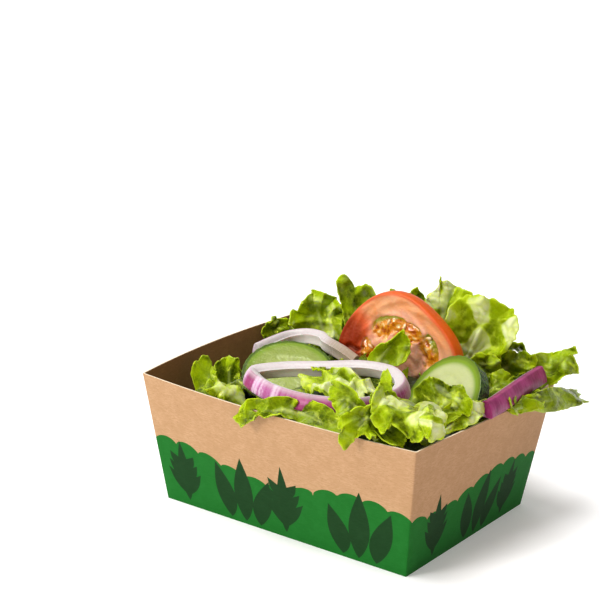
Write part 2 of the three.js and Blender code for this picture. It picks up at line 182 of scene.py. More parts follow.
def sharpen(piece, degrees):
    """Marks the edges sharper than an angle, so that flat faces next to them stay flat."""
    piece.data.set_sharp_from_angle(angle=math.radians(degrees))


# ---- Materials ----


class Shader:
    """One material's node tree, with short calls for the nodes used here."""

    def __init__(self, name, slot_color):
        self.material = bpy.data.materials.new(name)
        self.material.use_nodes = True
        self.material.diffuse_color = (*slot_color, 1)
        self.tree = self.material.node_tree
        self.surface = self.tree.nodes["Principled BSDF"]

    def node(self, kind, settings=None, **inputs):
        made = self.tree.nodes.new(kind)
        for key, value in (settings or {}).items():
            setattr(made, key, value)
        for key, value in inputs.items():
            self.put(value, made.inputs[key.replace("_", " ")])
        return made

    def put(self, value, socket):
        if isinstance(value, bpy.types.NodeSocket):
            self.tree.links.new(value, socket)
        elif socket.type == "RGBA" and len(value) == 3:
            socket.default_value = (*value, 1)
        else:
            socket.default_value = value

    def field(self, name):
        return self.node("ShaderNodeAttribute", {"attribute_name": name}).outputs["Fac"]

    def place(self):
        return self.node("ShaderNodeTexCoord").outputs["Object"]

    def stretched(self, scale):
        mapping = self.node("ShaderNodeMapping", Vector=self.place(), Scale=scale)
        return mapping.outputs["Vector"]

    def noise(self, size, detail=3, roughness=0.55, vector=None):
        """Cloudy noise from 0 to 1 with lumps of a size in millimetres."""
        made = self.node(
            "ShaderNodeTexNoise", Vector=vector or self.place(), Scale=1 / (size * MM),
            Detail=detail, Roughness=roughness,
        )
        return made.outputs["Fac"]

    def cells(self, size):
        """The distance to the border of cells of a size in millimetres."""
        made = self.node(
            "ShaderNodeTexVoronoi", {"feature": "DISTANCE_TO_EDGE"}, Vector=self.place(),
            Scale=1 / (size * MM),
        )
        return made.outputs["Distance"]

    def math(self, operation, a, b):
        made = self.node("ShaderNodeMath", {"operation": operation})
        self.put(a, made.inputs[0])
        self.put(b, made.inputs[1])
        return made.outputs["Value"]

    def times(self, a, b):
        return self.math("MULTIPLY", a, b)

    def plus(self, a, b):
        return self.math("ADD", a, b)

    def ramp(self, value, low, high, to_low=0.0, to_high=1.0):
        made = self.node("ShaderNodeMapRange", {"clamp": True, "interpolation_type": "SMOOTHSTEP"})
        for socket, number in zip(made.inputs, (value, low, high, to_low, to_high)):
            self.put(number, socket)
        return made.outputs["Result"]

    def mix(self, share, a, b):
        made = self.node("ShaderNodeMix", {"data_type": "RGBA"})
        self.put(share, made.inputs[0])
        self.put(a, made.inputs[6])
        self.put(b, made.inputs[7])
        return made.outputs[2]

    def bump(self, height, depth, strength=1.0, below=None):
        """A bump whose height field of 0 to 1 stands for a depth in millimetres."""
        made = self.node("ShaderNodeBump", Height=height, Distance=depth * MM, Strength=strength)
        if below is not None:
            self.put(below, made.inputs["Normal"])
        return made.outputs["Normal"]

    def finish(self, **inputs):
        for key, value in inputs.items():
            self.put(value, self.surface.inputs[key.replace("_", " ")])
        return self.material


FIBRE_STRETCH = (0.35, 0.35, 1.4)


def kraft_fibres(shader):
    """Fine fibres lying along the board, a faint blotch, and specks."""
    lying = shader.stretched(FIBRE_STRETCH)
    fibres = shader.noise(0.7, detail=4, roughness=0.7, vector=lying)
    blotch = shader.noise(6, detail=2)
    specks = shader.ramp(shader.noise(0.6, detail=2), 0.62, 0.72)
    return fibres, blotch, specks


def kraft_material(name, light, dark, speck):
    shader = Shader(name, light)
    fibres, blotch, specks = kraft_fibres(shader)
    color = shader.mix(shader.ramp(fibres, 0.3, 0.7), dark, light)
    color = shader.mix(shader.ramp(blotch, 0.35, 0.7, 0, 0.55), color, dark)
    color = shader.mix(shader.times(specks, 0.4), color, speck)
    relief = shader.bump(fibres, 0.05, below=shader.bump(blotch, 0.12))
    return shader.finish(Base_Color=color, Roughness=0.82, Specular_IOR_Level=0.15, Normal=relief)


def print_material(name, ink, worn):
    shader = Shader(name, ink)
    fibres, blotch, _ = kraft_fibres(shader)
    color = shader.mix(shader.ramp(fibres, 0.35, 0.75, 0, 0.5), ink, worn)
    color = shader.mix(shader.ramp(blotch, 0.4, 0.7, 0, 0.3), color, worn)
    relief = shader.bump(fibres, 0.04)
    return shader.finish(Base_Color=color, Roughness=0.7, Specular_IOR_Level=0.1, Normal=relief)


def board_edge_material():
    shader = Shader("board_edge", (0.75, 0.6, 0.42))
    layers = shader.noise(0.4, detail=3)
    color = shader.mix(layers, (0.6, 0.46, 0.3), (0.85, 0.72, 0.55))
    return shader.finish(Base_Color=color, Roughness=0.9, Normal=shader.bump(layers, 0.05))


# deep is painted shade between and under the leaves; bright and light at the margins are partly their
# own paler green and partly painted light shining through; the other pale greens are the leaf's own.
LEAF_COLORS = {
    "deep": (0.04, 0.068, 0.001),
    "middle": (0.13, 0.2, 0.0015),
    "bright": (0.31, 0.42, 0.001),
    "light": (0.44, 0.55, 0.03),
    "pale": (0.52, 0.58, 0.2),
    "white": (0.66, 0.7, 0.46),
}


def leaf_material(name):
    """Moist lettuce: painted shade in cloudy patches, pale in patches, and a frilled margin that is
    paler and brightened with painted light shining through it.
    """
    shader = Shader(name, LEAF_COLORS["middle"])
    margin, vein, puff = shader.field("margin"), shader.field("vein"), shader.field("puff")
    pale, tone = shader.field("pale"), shader.field("tone")
    net = shader.cells(1.9)
    # Painted shade: cloudy noise, lowered on leaves of low tone, mixes in the deep green.
    depth = shader.plus(shader.noise(6, detail=4), shader.times(tone, 0.22))
    color = shader.mix(shader.ramp(depth, 0.32, 0.66), LEAF_COLORS["deep"], LEAF_COLORS["middle"])
    # Partly the paler margin, partly painted light shining through it: brighter green towards the edge.
    paler_margin_and_painted_light = shader.times(shader.ramp(margin, 0.4, 1.0, 0.3, 1), shader.ramp(depth, 0.3, 0.7))
    color = shader.mix(paler_margin_and_painted_light, color, LEAF_COLORS["bright"])
    net_line = shader.ramp(net, 0.0, 0.14, 0.14, 0)
    color = shader.mix(net_line, color, LEAF_COLORS["light"])
    faded = shader.ramp(shader.plus(pale, shader.noise(3.5, detail=3)), 0.6, 1.3)
    color = shader.mix(shader.ramp(faded, 0, 0.5), color, LEAF_COLORS["light"])
    color = shader.mix(shader.ramp(faded, 0.4, 1), color, LEAF_COLORS["pale"])
    blister = shader.times(shader.times(puff, pale), 0.8)
    color = shader.mix(blister, color, LEAF_COLORS["white"])
    color = shader.mix(shader.times(vein, 0.6), color, LEAF_COLORS["pale"])
    # Partly paler and partly painted light: a thin bright line along the very edge.
    color = shader.mix(shader.ramp(margin, 0.955, 1.0, 0, 0.6), color, LEAF_COLORS["light"])
    # Painted shade: leaves of low tone are mixed towards the deep green.
    color = shader.mix(shader.ramp(tone, -1, 0, 0.6, 0), color, LEAF_COLORS["deep"])
    relief = shader.bump(net, 0.25, strength=0.35)
    relief = shader.bump(shader.noise(1.3, detail=2), 0.2, strength=0.4, below=relief)
    gloss = shader.ramp(shader.noise(2.5, detail=2), 0.35, 0.7, 0.16, 0.38)
    return shader.finish(
        Base_Color=color, Roughness=gloss, Normal=relief, Subsurface_Weight=0.8,
        Subsurface_Radius=(1.0, 1.2, 0.1), Subsurface_Scale=0.9 * MM, Specular_IOR_Level=0.4,
        Specular_Tint=(0.75, 0.8, 0.06, 1),
    )


def core_painted_shade_material():
    shader = Shader("lettuce_core", LEAF_COLORS["deep"])
    # Painted shade: a near-black green for the leaves hidden deep in the heap.
    color = shader.mix(shader.noise(4, detail=4), (0.008, 0.014, 0.001), (0.04, 0.07, 0.003))
    relief = shader.bump(shader.cells(4), 2)
    return shader.finish(Base_Color=color, Roughness=0.5, Normal=relief)


def tomato_material():
    """Flesh wall, core and gel by the fields of the slice, and skin round the outside."""
    shader = Shader("tomato_flesh", (0.7, 0.25, 0.1))
    wall, gel, skin = shader.field("wall"), shader.field("gel"), shader.field("skin")
    red_rim_and_painted_shade = shader.field("red_rim_and_painted_shade")
    grain = shader.noise(1.4, detail=3)
    cloud = shader.ramp(shader.noise(9, detail=3), 0.3, 0.7)
    flesh = shader.mix(cloud, (0.66, 0.24, 0.08), (0.68, 0.33, 0.16))
    core = shader.mix(grain, (0.74, 0.3, 0.15), (0.82, 0.48, 0.33))
    color = shader.mix(wall, core, flesh)
    pulp = shader.noise(2.6, detail=3)
    deep = shader.mix(shader.ramp(pulp, 0.35, 0.5), (0.42, 0.08, 0.003), (0.72, 0.27, 0.008))
    deep = shader.mix(shader.ramp(pulp, 0.54, 0.68), deep, (0.84, 0.56, 0.2))
    deep = shader.mix(shader.ramp(shader.field("green"), 0.3, 0.9), deep, (0.32, 0.33, 0.015))
    color = shader.mix(gel, color, deep)
    # The red rim under the skin is the flesh's own; the darker red towards one side and in the slit is
    # painted shade.
    color = shader.mix(shader.ramp(red_rim_and_painted_shade, 0, 0.7), color, (0.6, 0.09, 0.02))
    color = shader.mix(shader.ramp(red_rim_and_painted_shade, 0.6, 1), color, (0.27, 0.02, 0.001))
    color = shader.mix(skin, color, (0.62, 0.09, 0.003))
    rough = shader.ramp(gel, 0, 1, 0.42, 0.1)
    relief = shader.bump(grain, 0.16, below=shader.bump(shader.cells(1.8), 0.12))
    relief = shader.bump(shader.times(pulp, gel), 1.0, below=relief)
    return shader.finish(
        Base_Color=color, Roughness=rough, Normal=relief, Subsurface_Weight=0.5,
        Subsurface_Radius=(1.0, 0.35, 0.1), Subsurface_Scale=1.6 * MM, Specular_IOR_Level=0.4,
        Specular_Tint=(1, 0.6, 0.4, 1), Coat_Weight=shader.times(gel, 0.7),
        Coat_Roughness=0.05,
    )


def tomato_seed_material():
    shader = Shader("tomato_seed", (0.85, 0.6, 0.3))
    color = shader.mix(shader.noise(1.5), (0.72, 0.4, 0.14), (0.85, 0.62, 0.36))
    return shader.finish(
        Base_Color=color, Roughness=0.2, Subsurface_Weight=0.4, Subsurface_Radius=(1, 0.6, 0.3),
        Subsurface_Scale=0.8 * MM, Coat_Weight=0.6, Coat_Roughness=0.08,
    )


def cucumber_material():
    """Moist flesh that greens towards the skin, and dark streaked skin round the edge."""
    shader = Shader("cucumber_flesh", (0.5, 0.58, 0.2))
    edge, seedy, seed, skin = (shader.field(name) for name in ("edge", "seedy", "seed", "skin"))
    cloud = shader.noise(5, detail=3)
    flesh = shader.mix(cloud, (0.2, 0.27, 0.04), (0.28, 0.33, 0.08))
    pale = shader.mix(cloud, (0.4, 0.44, 0.18), (0.48, 0.51, 0.26))
    flesh = shader.mix(shader.field("pale"), flesh, pale)
    color = shader.mix(shader.times(seedy, 0.25), flesh, (0.45, 0.5, 0.18))
    color = shader.mix(shader.times(seed, 0.2), color, (0.5, 0.53, 0.3))
    color = shader.mix(shader.ramp(edge, 0, 0.6), color, (0.17, 0.27, 0.012))
    deep = shader.mix(shader.field("pale"), (0.03, 0.07, 0.002), (0.1, 0.16, 0.006))
    color = shader.mix(shader.ramp(edge, 0.65, 1), color, deep)
    streaks = shader.noise(1.0, detail=2)
    bark = shader.mix(shader.ramp(streaks, 0.4, 0.65), (0.008, 0.028, 0.002), (0.05, 0.12, 0.008))
    color = shader.mix(skin, color, bark)
    relief = shader.bump(shader.noise(0.9, detail=3), 0.12, below=shader.bump(cloud, 0.4))
    return shader.finish(
        Base_Color=color, Roughness=0.26, Normal=relief, Subsurface_Weight=0.5,
        Subsurface_Radius=(0.8, 1.0, 0.2), Subsurface_Scale=1.6 * MM, Specular_IOR_Level=0.4,
        Specular_Tint=(0.9, 0.95, 0.6, 1),
    )


def onion_material():
    """White cut faces, a purple outer side striped across the band, a lilac inner side, and
    brown painted shade where the amount of purple falls below 0.
    """
    shader = Shader("onion_layer", (0.6, 0.35, 0.5))
    outer, inner, purple_and_painted_shade = shader.field("outer"), shader.field("inner"), shader.field("purple_and_painted_shade")
    mottle = shader.noise(0.9, detail=3)
    cloud = shader.ramp(shader.noise(4, detail=2), 0.3, 0.75)
    white = shader.mix(mottle, (0.5, 0.43, 0.44), (0.62, 0.58, 0.56))
    lit = shader.mix(cloud, (0.62, 0.4, 0.55), (0.66, 0.55, 0.62))
    purple = shader.mix(cloud, (0.34, 0.035, 0.16), (0.2, 0.014, 0.08))
    patchy = shader.plus(purple_and_painted_shade, shader.ramp(mottle, 0.3, 0.7, -0.12, 0.08))
    band = shader.mix(shader.ramp(patchy, 0.05, 0.45), lit, (0.42, 0.13, 0.3))
    band = shader.mix(shader.ramp(patchy, 0.45, 0.9), band, purple)
    lilac = shader.mix(mottle, (0.76, 0.68, 0.66), (0.85, 0.79, 0.74))
    color = shader.mix(outer, white, band)
    color = shader.mix(inner, color, lilac)
    # Painted shade: below 0, as at the far end of the back arc, a dull brown darkens the whole band.
    color = shader.mix(shader.ramp(purple_and_painted_shade, -1, -0.1, 0.85, 0), color, (0.26, 0.18, 0.1))
    return shader.finish(
        Base_Color=color, Roughness=0.33, Normal=shader.bump(mottle, 0.08), Subsurface_Weight=0.5,
        Subsurface_Radius=(1.0, 0.7, 0.8), Subsurface_Scale=1.5 * MM, Specular_IOR_Level=0.3,
    )


def table_material():
    shader = Shader("table_top", (0.9, 0.9, 0.9))
    return shader.finish(
        Base_Color=(0.9, 0.9, 0.9), Roughness=0.7, Specular_IOR_Level=0.2,
        Emission_Color=(1, 0.99, 0.98, 1), Emission_Strength=0.17,
    )


# ---- Box ----


def box_place(across, along, height):
    """Where the outer face of a wall is: across and along run from -1 to 1 over the plan."""
    across, along, height = np.broadcast_arrays(across, along, height)
    share = np.maximum(height, 0) / BOX_HEIGHT
    bow = share**BOW_GROWTH
    half_length = RIM_LENGTH / 2 - END_LEAN * (1 - share)
    half_width = RIM_WIDTH / 2 - SIDE_LEAN * (1 - share)
    end_bow = np.where(across > 0, FAR_END_BOW * (1 + FAR_END_SKEW * along), NEAR_END_BOW)
    x = across * (half_length + end_bow * bow * (1 - along**2))
    y = along * (half_width + SIDE_BOW * bow * (1 - across**2))
    return np.stack([x, y, height * 1.0], axis=-1)


def round_plan(run):
    """The plan's outline, at a run in millimetres round the rim from the corner at -X, -Y, first
    along the wall at -Y. The corners are rounded folds."""
    corners = [(-1, -1), (1, -1), (1, 1), (-1, 1), (-1, -1)]
    starts = np.cumsum([0, RIM_LENGTH, RIM_WIDTH, RIM_LENGTH, RIM_WIDTH])
    across = np.interp(run % PERIMETER, starts, [corner[0] for corner in corners])
    along = np.interp(run % PERIMETER, starts, [corner[1] for corner in corners])
    flat = 1 - CORNER_ROUND
    near_corner = (np.abs(across) > flat) & (np.abs(along) > flat)
    turn = (np.abs(along) - np.abs(across)) / CORNER_ROUND
    angle = math.pi / 4 * (1 + turn)
    rounded_across = np.sign(across) * (flat + CORNER_ROUND * np.cos(angle))
    rounded_along = np.sign(along) * (flat + CORNER_ROUND * np.sin(angle))
    return np.where(near_corner, rounded_across, across), np.where(near_corner, rounded_along, along)


def inset_plan(run, inset):
    across, along = round_plan(run)
    across = across * (1 - inset / (RIM_LENGTH / 2 - END_LEAN))
    along = along * (1 - inset / (RIM_WIDTH / 2 - SIDE_LEAN))
    return across, along


def rim_runs():
    """Runs round the rim: every few millimetres along the walls, and closer at the folds."""
    runs = []
    start = 0
    for length in (RIM_LENGTH, RIM_WIDTH, RIM_LENGTH, RIM_WIDTH):
        bend = CORNER_ROUND * length / 2
        inner = np.linspace(bend, length - bend, round(length / 4))
        runs += [start, start + bend / 2, *(start + inner), start + length - bend / 2]
        start += length
    return np.array(runs)


# The print: a plain scalloped band, and sprigs and blades that stand in it. Each outline is
# a list of (run, height) round the walls, in millimetres.
BAND_LEVEL = 24
BAND_SWELL = 3.2
SCALLOP_LENGTH = PERIMETER / 40
SCALLOP_DEPTH = 2.6
OUTLINE_STEP = 0.8
BOX_SHARP = 50
BARE, PRINTED, DARK_PRINTED, EDGE, INNER = range(5)


def band_height(run):
    """The top of the printed band: a slow swell, and a row of arcs with their cusps down."""
    swell = BAND_SWELL * np.sin(2 * math.pi * run / PERIMETER * 5 + 0.9)
    arcs = SCALLOP_DEPTH * np.sqrt(np.abs(np.sin(math.pi * run / SCALLOP_LENGTH)))
    return BAND_LEVEL + swell + arcs


def blade(run, low, length, width, lean):
    """A plain pointed blade, as an outline from its foot round its tip and back."""
    steps = max(6, round(length / BLADE_STEP))
    share = np.linspace(0, 1, steps)
    half = width / 2 * np.sin(math.pi * share**0.8) + BLADE_TIP
    middle = np.stack([run + lean * share**1.5, low + length * share], axis=-1)
    side = np.stack([half, np.zeros(steps)], axis=-1)
    return np.concatenate([middle - side, (middle + side)[::-1]])


def sprig(run, low, length, pairs, width):
    """A stem with pairs of plain blades and one at the top, each its own outline."""
    outlines = [blade(run, low, length, width * 0.9, 0)]
    for pair in range(pairs):
        foot = low + length * (0.08 + 0.6 * pair / pairs)
        reach = length * (0.42 - 0.06 * pair)
        outlines.append(blade(run, foot, reach, width, reach * 0.8))
        outlines.append(blade(run, foot, reach, width, -reach * 0.8))
    return outlines


# Sprigs of the print as run and length, and blades as run, length, lean and width.
SPRIGS = ((14, 27), (68, 30), (152, 28), (215, 25), (262, 29), (338, 27), (402, 30))
BLADES = (
    (38, 24, -5, 10), (46, 29, 1, 10), (54, 22, 7, 10), (98, 21, -7, 10.5), (106, 30, 0, 10.5),
    (115, 24, 6, 10.5), (181, 22, -5, 10), (190, 28, 2, 10), (198, 21, 7, 10), (294, 24, -5, 10),
    (303, 29, 1, 10), (312, 22, 7, 10), (366, 24, -4, 10), (376, 28, 4, 10),
)
SPRIG_PAIRS = 3
SPRIG_WIDTH = 7.6
SPRIG_FOOT = 2.5
BLADE_FOOT = 1.5
BLADE_STEP = 1.2
BLADE_TIP = 0.02


def dark_print():
    """The dark shapes of the print, as outlines in runs round the four walls."""
    outlines = []
    for run, length in SPRIGS:
        outlines += sprig(run, SPRIG_FOOT, length, SPRIG_PAIRS, SPRIG_WIDTH)
    for run, length, lean, width in BLADES:
        outlines.append(blade(run, BLADE_FOOT, length, width, lean))
    return outlines


def inside_outline(points, outline):
    """Which of the points lie inside a closed outline."""
    x, y = points[:, 0:1], points[:, 1:2]
    ax, ay = outline[:, 0], outline[:, 1]
    bx, by = np.roll(ax, -1), np.roll(ay, -1)
    spans = (ay > y) != (by > y)
    slope = np.where(by == ay, 1e-9, by - ay)
    crossings = spans & (x < (bx - ax) * (y - ay) / slope + ax)
    return crossings.sum(axis=1) % 2 == 1


def wall_sheet():
    """The outer face of all four walls, laid flat and split along the print's outlines."""
    runs = np.append(rim_runs(), PERIMETER)
    heights = np.linspace(0, BOX_HEIGHT, 15)
    points = [(run, height) for run in runs for height in heights]
    edges = []
    columns = len(heights)
    for height in (0, columns - 1):
        edges += [(i * columns + height, (i + 1) * columns + height) for i in range(len(runs) - 1)]
    for run in (0, len(runs) - 1):
        edges += [(run * columns + i, run * columns + i + 1) for i in range(columns - 1)]

    band_runs = np.arange(0, PERIMETER + OUTLINE_STEP / 2, OUTLINE_STEP)
    band_runs = np.linspace(0, PERIMETER, len(band_runs))
    band = np.stack([band_runs, band_height(band_runs)], axis=-1)
    edges += [(len(points) + i, len(points) + i + 1) for i in range(len(band) - 1)]
    points += [tuple(place) for place in band]
    motifs = dark_print()
    for outline in motifs:
        first, count = len(points), len(outline)
        edges += [(first + i, first + (i + 1) % count) for i in range(count)]
        points += [tuple(place) for place in outline]

    flat, _, triangles, _, _, _ = delaunay_2d_cdt([Vector(p) for p in points], edges, [], 0, 1e-4)
    flat = np.array([tuple(place) for place in flat])
    triangles = np.array(triangles)
    centres = flat[triangles].mean(axis=1)
    picks = np.where(centres[:, 1] < band_height(centres[:, 0]), PRINTED, BARE)
    for outline in motifs:
        near = np.abs(centres[:, 0] - outline[:, 0].mean()) < np.ptp(outline[:, 0]) + 2
        dark = np.zeros(len(centres), dtype=bool)
        dark[near] = inside_outline(centres[near], outline)
        picks[dark] = DARK_PRINTED
    return flat, triangles, picks


def without_seam(flat, triangles):
    """The sheet with the points of its last column taken for those of its first."""
    seam = np.isclose(flat[:, 0], PERIMETER, atol=1e-3)
    starts = np.flatnonzero(np.isclose(flat[:, 0], 0, atol=1e-3))
    match = np.arange(len(flat))
    for index in np.flatnonzero(seam):
        match[index] = starts[np.argmin(np.abs(flat[starts, 1] - flat[index, 1]))]
    kept = np.flatnonzero(~seam)
    renumber = np.zeros(len(flat), dtype=int)
    renumber[kept] = np.arange(len(kept))
    return flat[kept], renumber[match[triangles]]


def loop_at(flat, height):
    """The points of the sheet at a height, in their order round the walls."""
    found = np.flatnonzero(np.isclose(flat[:, 1], height, atol=1e-3))
    return found[np.argsort(flat[found, 0])]


def box_materials():
    """The materials in the order of BARE, PRINTED, DARK_PRINTED, EDGE and INNER."""
    return [
        kraft_material("kraft_board", (0.5, 0.305, 0.168), (0.4, 0.23, 0.112), (0.24, 0.12, 0.05)),
        print_material("print_green", (0.006, 0.118, 0.011), (0.012, 0.15, 0.02)),
        print_material("print_dark_green", (0.005, 0.034, 0.006), (0.01, 0.05, 0.012)),
        board_edge_material(),
        # The inner face: partly a darker brown side of the board, partly painted shade inside the box.
        kraft_material("kraft_inside_and_painted_shade", (0.32, 0.165, 0.065), (0.26, 0.13, 0.048), (0.16, 0.07, 0.024)),
    ]


def make_box():
    """The box as one closed sheet of board, with its outer face split along the print."""
    flat, triangles, picks = wall_sheet()
    flat, triangles = without_seam(flat, triangles)
    outer = box_place(*round_plan(flat[:, 0]), flat[:, 1])
    faces = [tuple(face) for face in triangles]
    picks = list(picks)
    runs = rim_runs()
    count = len(runs)
    plan = inset_plan(runs, BOARD)
    inner_heights = [BOX_HEIGHT, *np.linspace(BOX_HEIGHT - 0.3, BOARD, 12)]
    inner = np.concatenate([box_place(*plan, height) for height in inner_heights])
    top = loop_at(flat, BOX_HEIGHT)
    first = len(outer)
    for i in range(count):
        following = (i + 1) % count
        faces.append((top[i], top[following], first + following, first + i))
    picks += [EDGE] * count
    bands = ring_faces(len(inner_heights), count, first)
    faces += [tuple(face) for face in bands]
    picks += [INNER] * len(bands)
    faces.append(tuple(first + (len(inner_heights) - 1) * count + np.arange(count)))
    picks.append(INNER)
    faces.append(tuple(loop_at(flat, 0)[::-1]))
    picks.append(BARE)
    piece = mesh_object("board_box", np.concatenate([outer, inner]), faces, box_materials(), picks)
    sharpen(piece, BOX_SHARP)
    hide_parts("box")
    return piece


# ---- Toppings ----


def standing(axis, turn, at):
    """The place of a topping: its Z along an axis, its X as level as it can be, then a turn."""
    up = Vector(axis).normalized()
    level = Vector((0, 1, 0)) - up * up.y
    if level.length < 0.5:
        level = Vector((0, 0, 1)) - up * up.z
    level.normalize()
    side = level.cross(up)
    basis = Matrix((side, level, up)).transposed().to_4x4()
    return Matrix.Translation(at) @ basis @ Matrix.Rotation(math.radians(turn), 4, "Z")


def placed(points, matrix):
    turned = np.asarray(points) @ np.array(matrix.to_3x3()).T
    return turned + np.array(matrix.translation)


def disc_rows(profile, segments, uneven):
    """Rings of points round Z by a profile of (radius, height), with an uneven outline."""
    angle = np.linspace(0, 2 * math.pi, segments, endpoint=False)
    radius = np.array([[ring[0]] for ring in profile])
    height = np.array([[ring[1]] for ring in profile]) + np.zeros(segments)
    stretch = 1 + sum(size * np.sin(crests * angle + phase) for crests, size, phase in uneven)
    reach = radius * stretch
    return reach, angle + np.zeros_like(reach), height


def rows_to_mesh(reach, angle, height):
    """A closed mesh from rings of points, with its two ends closed by fans."""
    rows, segments = reach.shape
    points = np.stack([reach * np.cos(angle), reach * np.sin(angle), height], axis=-1)
    points = points.reshape(-1, 3)
    faces = [tuple(face[::-1]) for face in ring_faces(rows, segments)]
    first, last = len(points), len(points) + 1
    ends = [points[:segments].mean(axis=0), points[-segments:].mean(axis=0)]
    points = np.concatenate([points, ends])
    for i in range(segments):
        following = (i + 1) % segments
        faces.append((first, i, following))
        base = (rows - 1) * segments
        faces.append((last, base + following, base + i))
    return points, faces


def with_ends(values):
    """A field of the rings, with its value at the two ends."""
    return np.concatenate([values.ravel(), [values[0].mean(), values[-1].mean()]])


TOMATO_UNEVEN = ((2, 0.034, 2.23), (4, 0.03, 0.96))
TOMATO_SINK = 1.3  # of the gel below the cut face
TOMATO_WALL = 19.8  # the radius at which the flesh wall starts
FLUSH_WIDTH = 2.4  # of the redder rim of the cut face
# The turn of the side of the cut face that is darkened with painted shade.
PAINTED_SHADE_SIDE = math.radians(176)
SLIT_TURN = math.radians(178)
SLIT_DEPTH = 1.6
GREEN_SIDE = 1.4  # the turn at which the gel is greenest
TOMATO_PLACE = standing((-0.02, -0.99, 0.08), 0, (11.4, 15.6, 60))
TOMATO_SEED = (2.7, 1.3, 0.8)
SEED_SINK = 0.45
SEED_SHARE = 0.4  # of the places in a chamber that hold a seed
SEED_RINGS = 3.3
SEED_SPACING = 3.2
# Seed chambers: middle angle, half angle, inner and outer radius.
LOCULES = (
    (112, 30, 10, 20), (70, 22, 9.5, 18.3), (24, 27, 13, 20.5), (-48, 26, 9, 21), (-115, 28, 8, 21),
    (176, 17, 11, 19),
)


def locule_depth(radius, angle):
    """How far inside a seed chamber a place of the cut face is, from 0 at its wall to 1."""
    inside = np.zeros_like(radius)
    for index, (middle, half, inner, outer) in enumerate(LOCULES):
        turn = (np.degrees(angle) - middle + 180) % 360 - 180
        ragged = 0.1 * np.sin(13 * angle + radius) + 0.07 * np.sin(radius * 2.3 + 9 * angle + index)
        wobble = 0.12 * np.sin(6 * angle + index * 2.1) + 0.08 * np.sin(radius * 0.9 + index)
        wobble += ragged * (radius < (inner + outer) / 2)
        across = turn / (half * (1 + wobble))
        along = (radius - (inner + outer) / 2) / ((outer - inner) / 2 * (1 + wobble))
        inside = np.maximum(inside, 1 - (np.abs(across) ** 3 + np.abs(along) ** 3) ** (1 / 3))
    return inside


def tomato_profile():
    """Rings from the middle of the cut face out, round the skin, and to the middle behind."""
    face = [(radius, 0) for radius in np.linspace(0.6, TOMATO_RADIUS - 0.9, 54)]
    skin = []
    for share in np.linspace(0, 1, 15):
        bulge = TOMATO_BULGE * math.sin(math.pi * share) ** 0.7
        radius = TOMATO_RADIUS - 0.3 * (1 - share) + bulge - 2 * share**3
        skin.append((radius, -TOMATO_THICKNESS * share))
    back = [(radius, -TOMATO_THICKNESS) for radius in np.linspace(TOMATO_RADIUS - 3, 0.6, 40)]
    return face, skin, back


def tomato_slit(reach, angle):
    """A narrow cut in the flesh at one side, as 1 in the cut and 0 elsewhere."""
    off_line = np.abs(reach * np.sin(angle - SLIT_TURN) - 0.4 * np.sin(reach))
    ends = smoothstep(15, 17, reach) * (1 - smoothstep(24, 26, reach))
    return (1 - smoothstep(0.2, 1.3, off_line)) * ends * (np.cos(angle - SLIT_TURN) > 0)


def make_tomato():
    face, skin, back = tomato_profile()
    profile = face + skin + back
    reach, angle, height = disc_rows(profile, 220, TOMATO_UNEVEN)
    on_skin = np.zeros_like(reach)
    on_skin[len(face) + 1 : len(face) + len(skin) - 1] = 1
    flat = np.ones_like(reach)
    flat[len(face) : len(face) + len(skin)] = 0
    depth = locule_depth(reach, angle) * flat
    gel = smoothstep(0.0, 0.1, depth)
    lumps = 0.5 * np.sin(reach * 1.7 + 3 * np.sin(angle * 6)) * np.sin(angle * 17 + reach)
    sink = gel * (TOMATO_SINK - 0.9 * smoothstep(0.2, 0.9, depth) + 0.5 * lumps)
    wrinkle = 0.2 * np.sin(angle * 9 + np.sin(reach * 0.8) * 2) * flat * smoothstep(3, 9, reach)
    slit = tomato_slit(reach, angle)
    inwards = np.where(height < -TOMATO_THICKNESS / 2, 1, -1)
    height = height + inwards * (sink + wrinkle + SLIT_DEPTH * slit * flat)
    wall = smoothstep(0, 2.2, reach - TOMATO_WALL - 0.8 * np.sin(angle * 5))
    even = np.array([[ring[0]] for ring in profile])
    rim = 0.6 * smoothstep(TOMATO_RADIUS - FLUSH_WIDTH, TOMATO_RADIUS - 0.4, even)
    # Painted shade: the flesh darkens towards one side of the cut face and inside the slit.
    side = smoothstep(0.62, 1, np.cos(angle - PAINTED_SHADE_SIDE)) * smoothstep(12, 22, reach)
    red_rim_and_painted_shade = np.maximum(np.maximum(rim, side), slit) * (1 - gel)
    green = gel * smoothstep(15.5, 19, reach) * smoothstep(0.05, 0.9, np.cos(angle - GREEN_SIDE))
    points, faces = rows_to_mesh(reach, angle, height)
    fields = {"wall": wall, "gel": gel, "skin": on_skin, "red_rim_and_painted_shade": red_rim_and_painted_shade, "green": green}
    fields = {name: with_ends(values) for name, values in fields.items()}
    piece = mesh_object("tomato_flesh", placed(points, TOMATO_PLACE), faces, [tomato_material()],
                        fields=fields)
    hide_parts("tomato_slice")
    return piece


def pebble(length, width, height, segments=12, rows=7):
    """A small drop-shaped solid with its tip along +X."""
    turn = np.linspace(0, 2 * math.pi, segments, endpoint=False)
    slope = np.linspace(0.12, math.pi - 0.12, rows)[:, None]
    around = np.sin(slope)
    x = length / 2 * np.cos(slope) + np.zeros(segments)
    y = width / 2 * around * (1 - 0.35 * np.cos(slope)) * np.cos(turn)
    z = height / 2 * around * np.sin(turn)
    points = np.stack([x, y, z], axis=-1).reshape(-1, 3)
    points = np.concatenate([points, [[length / 2, 0, 0], [-length / 2, 0, 0]]])
    faces = [tuple(face) for face in ring_faces(rows, segments)]
    first = rows * segments
    for i in range(segments):
        following = (i + 1) % segments
        last = first - segments
        faces.append((first, following, i, i))
        faces.append((first + 1, last + i, last + following, last + following))
    return points, np.array(faces)


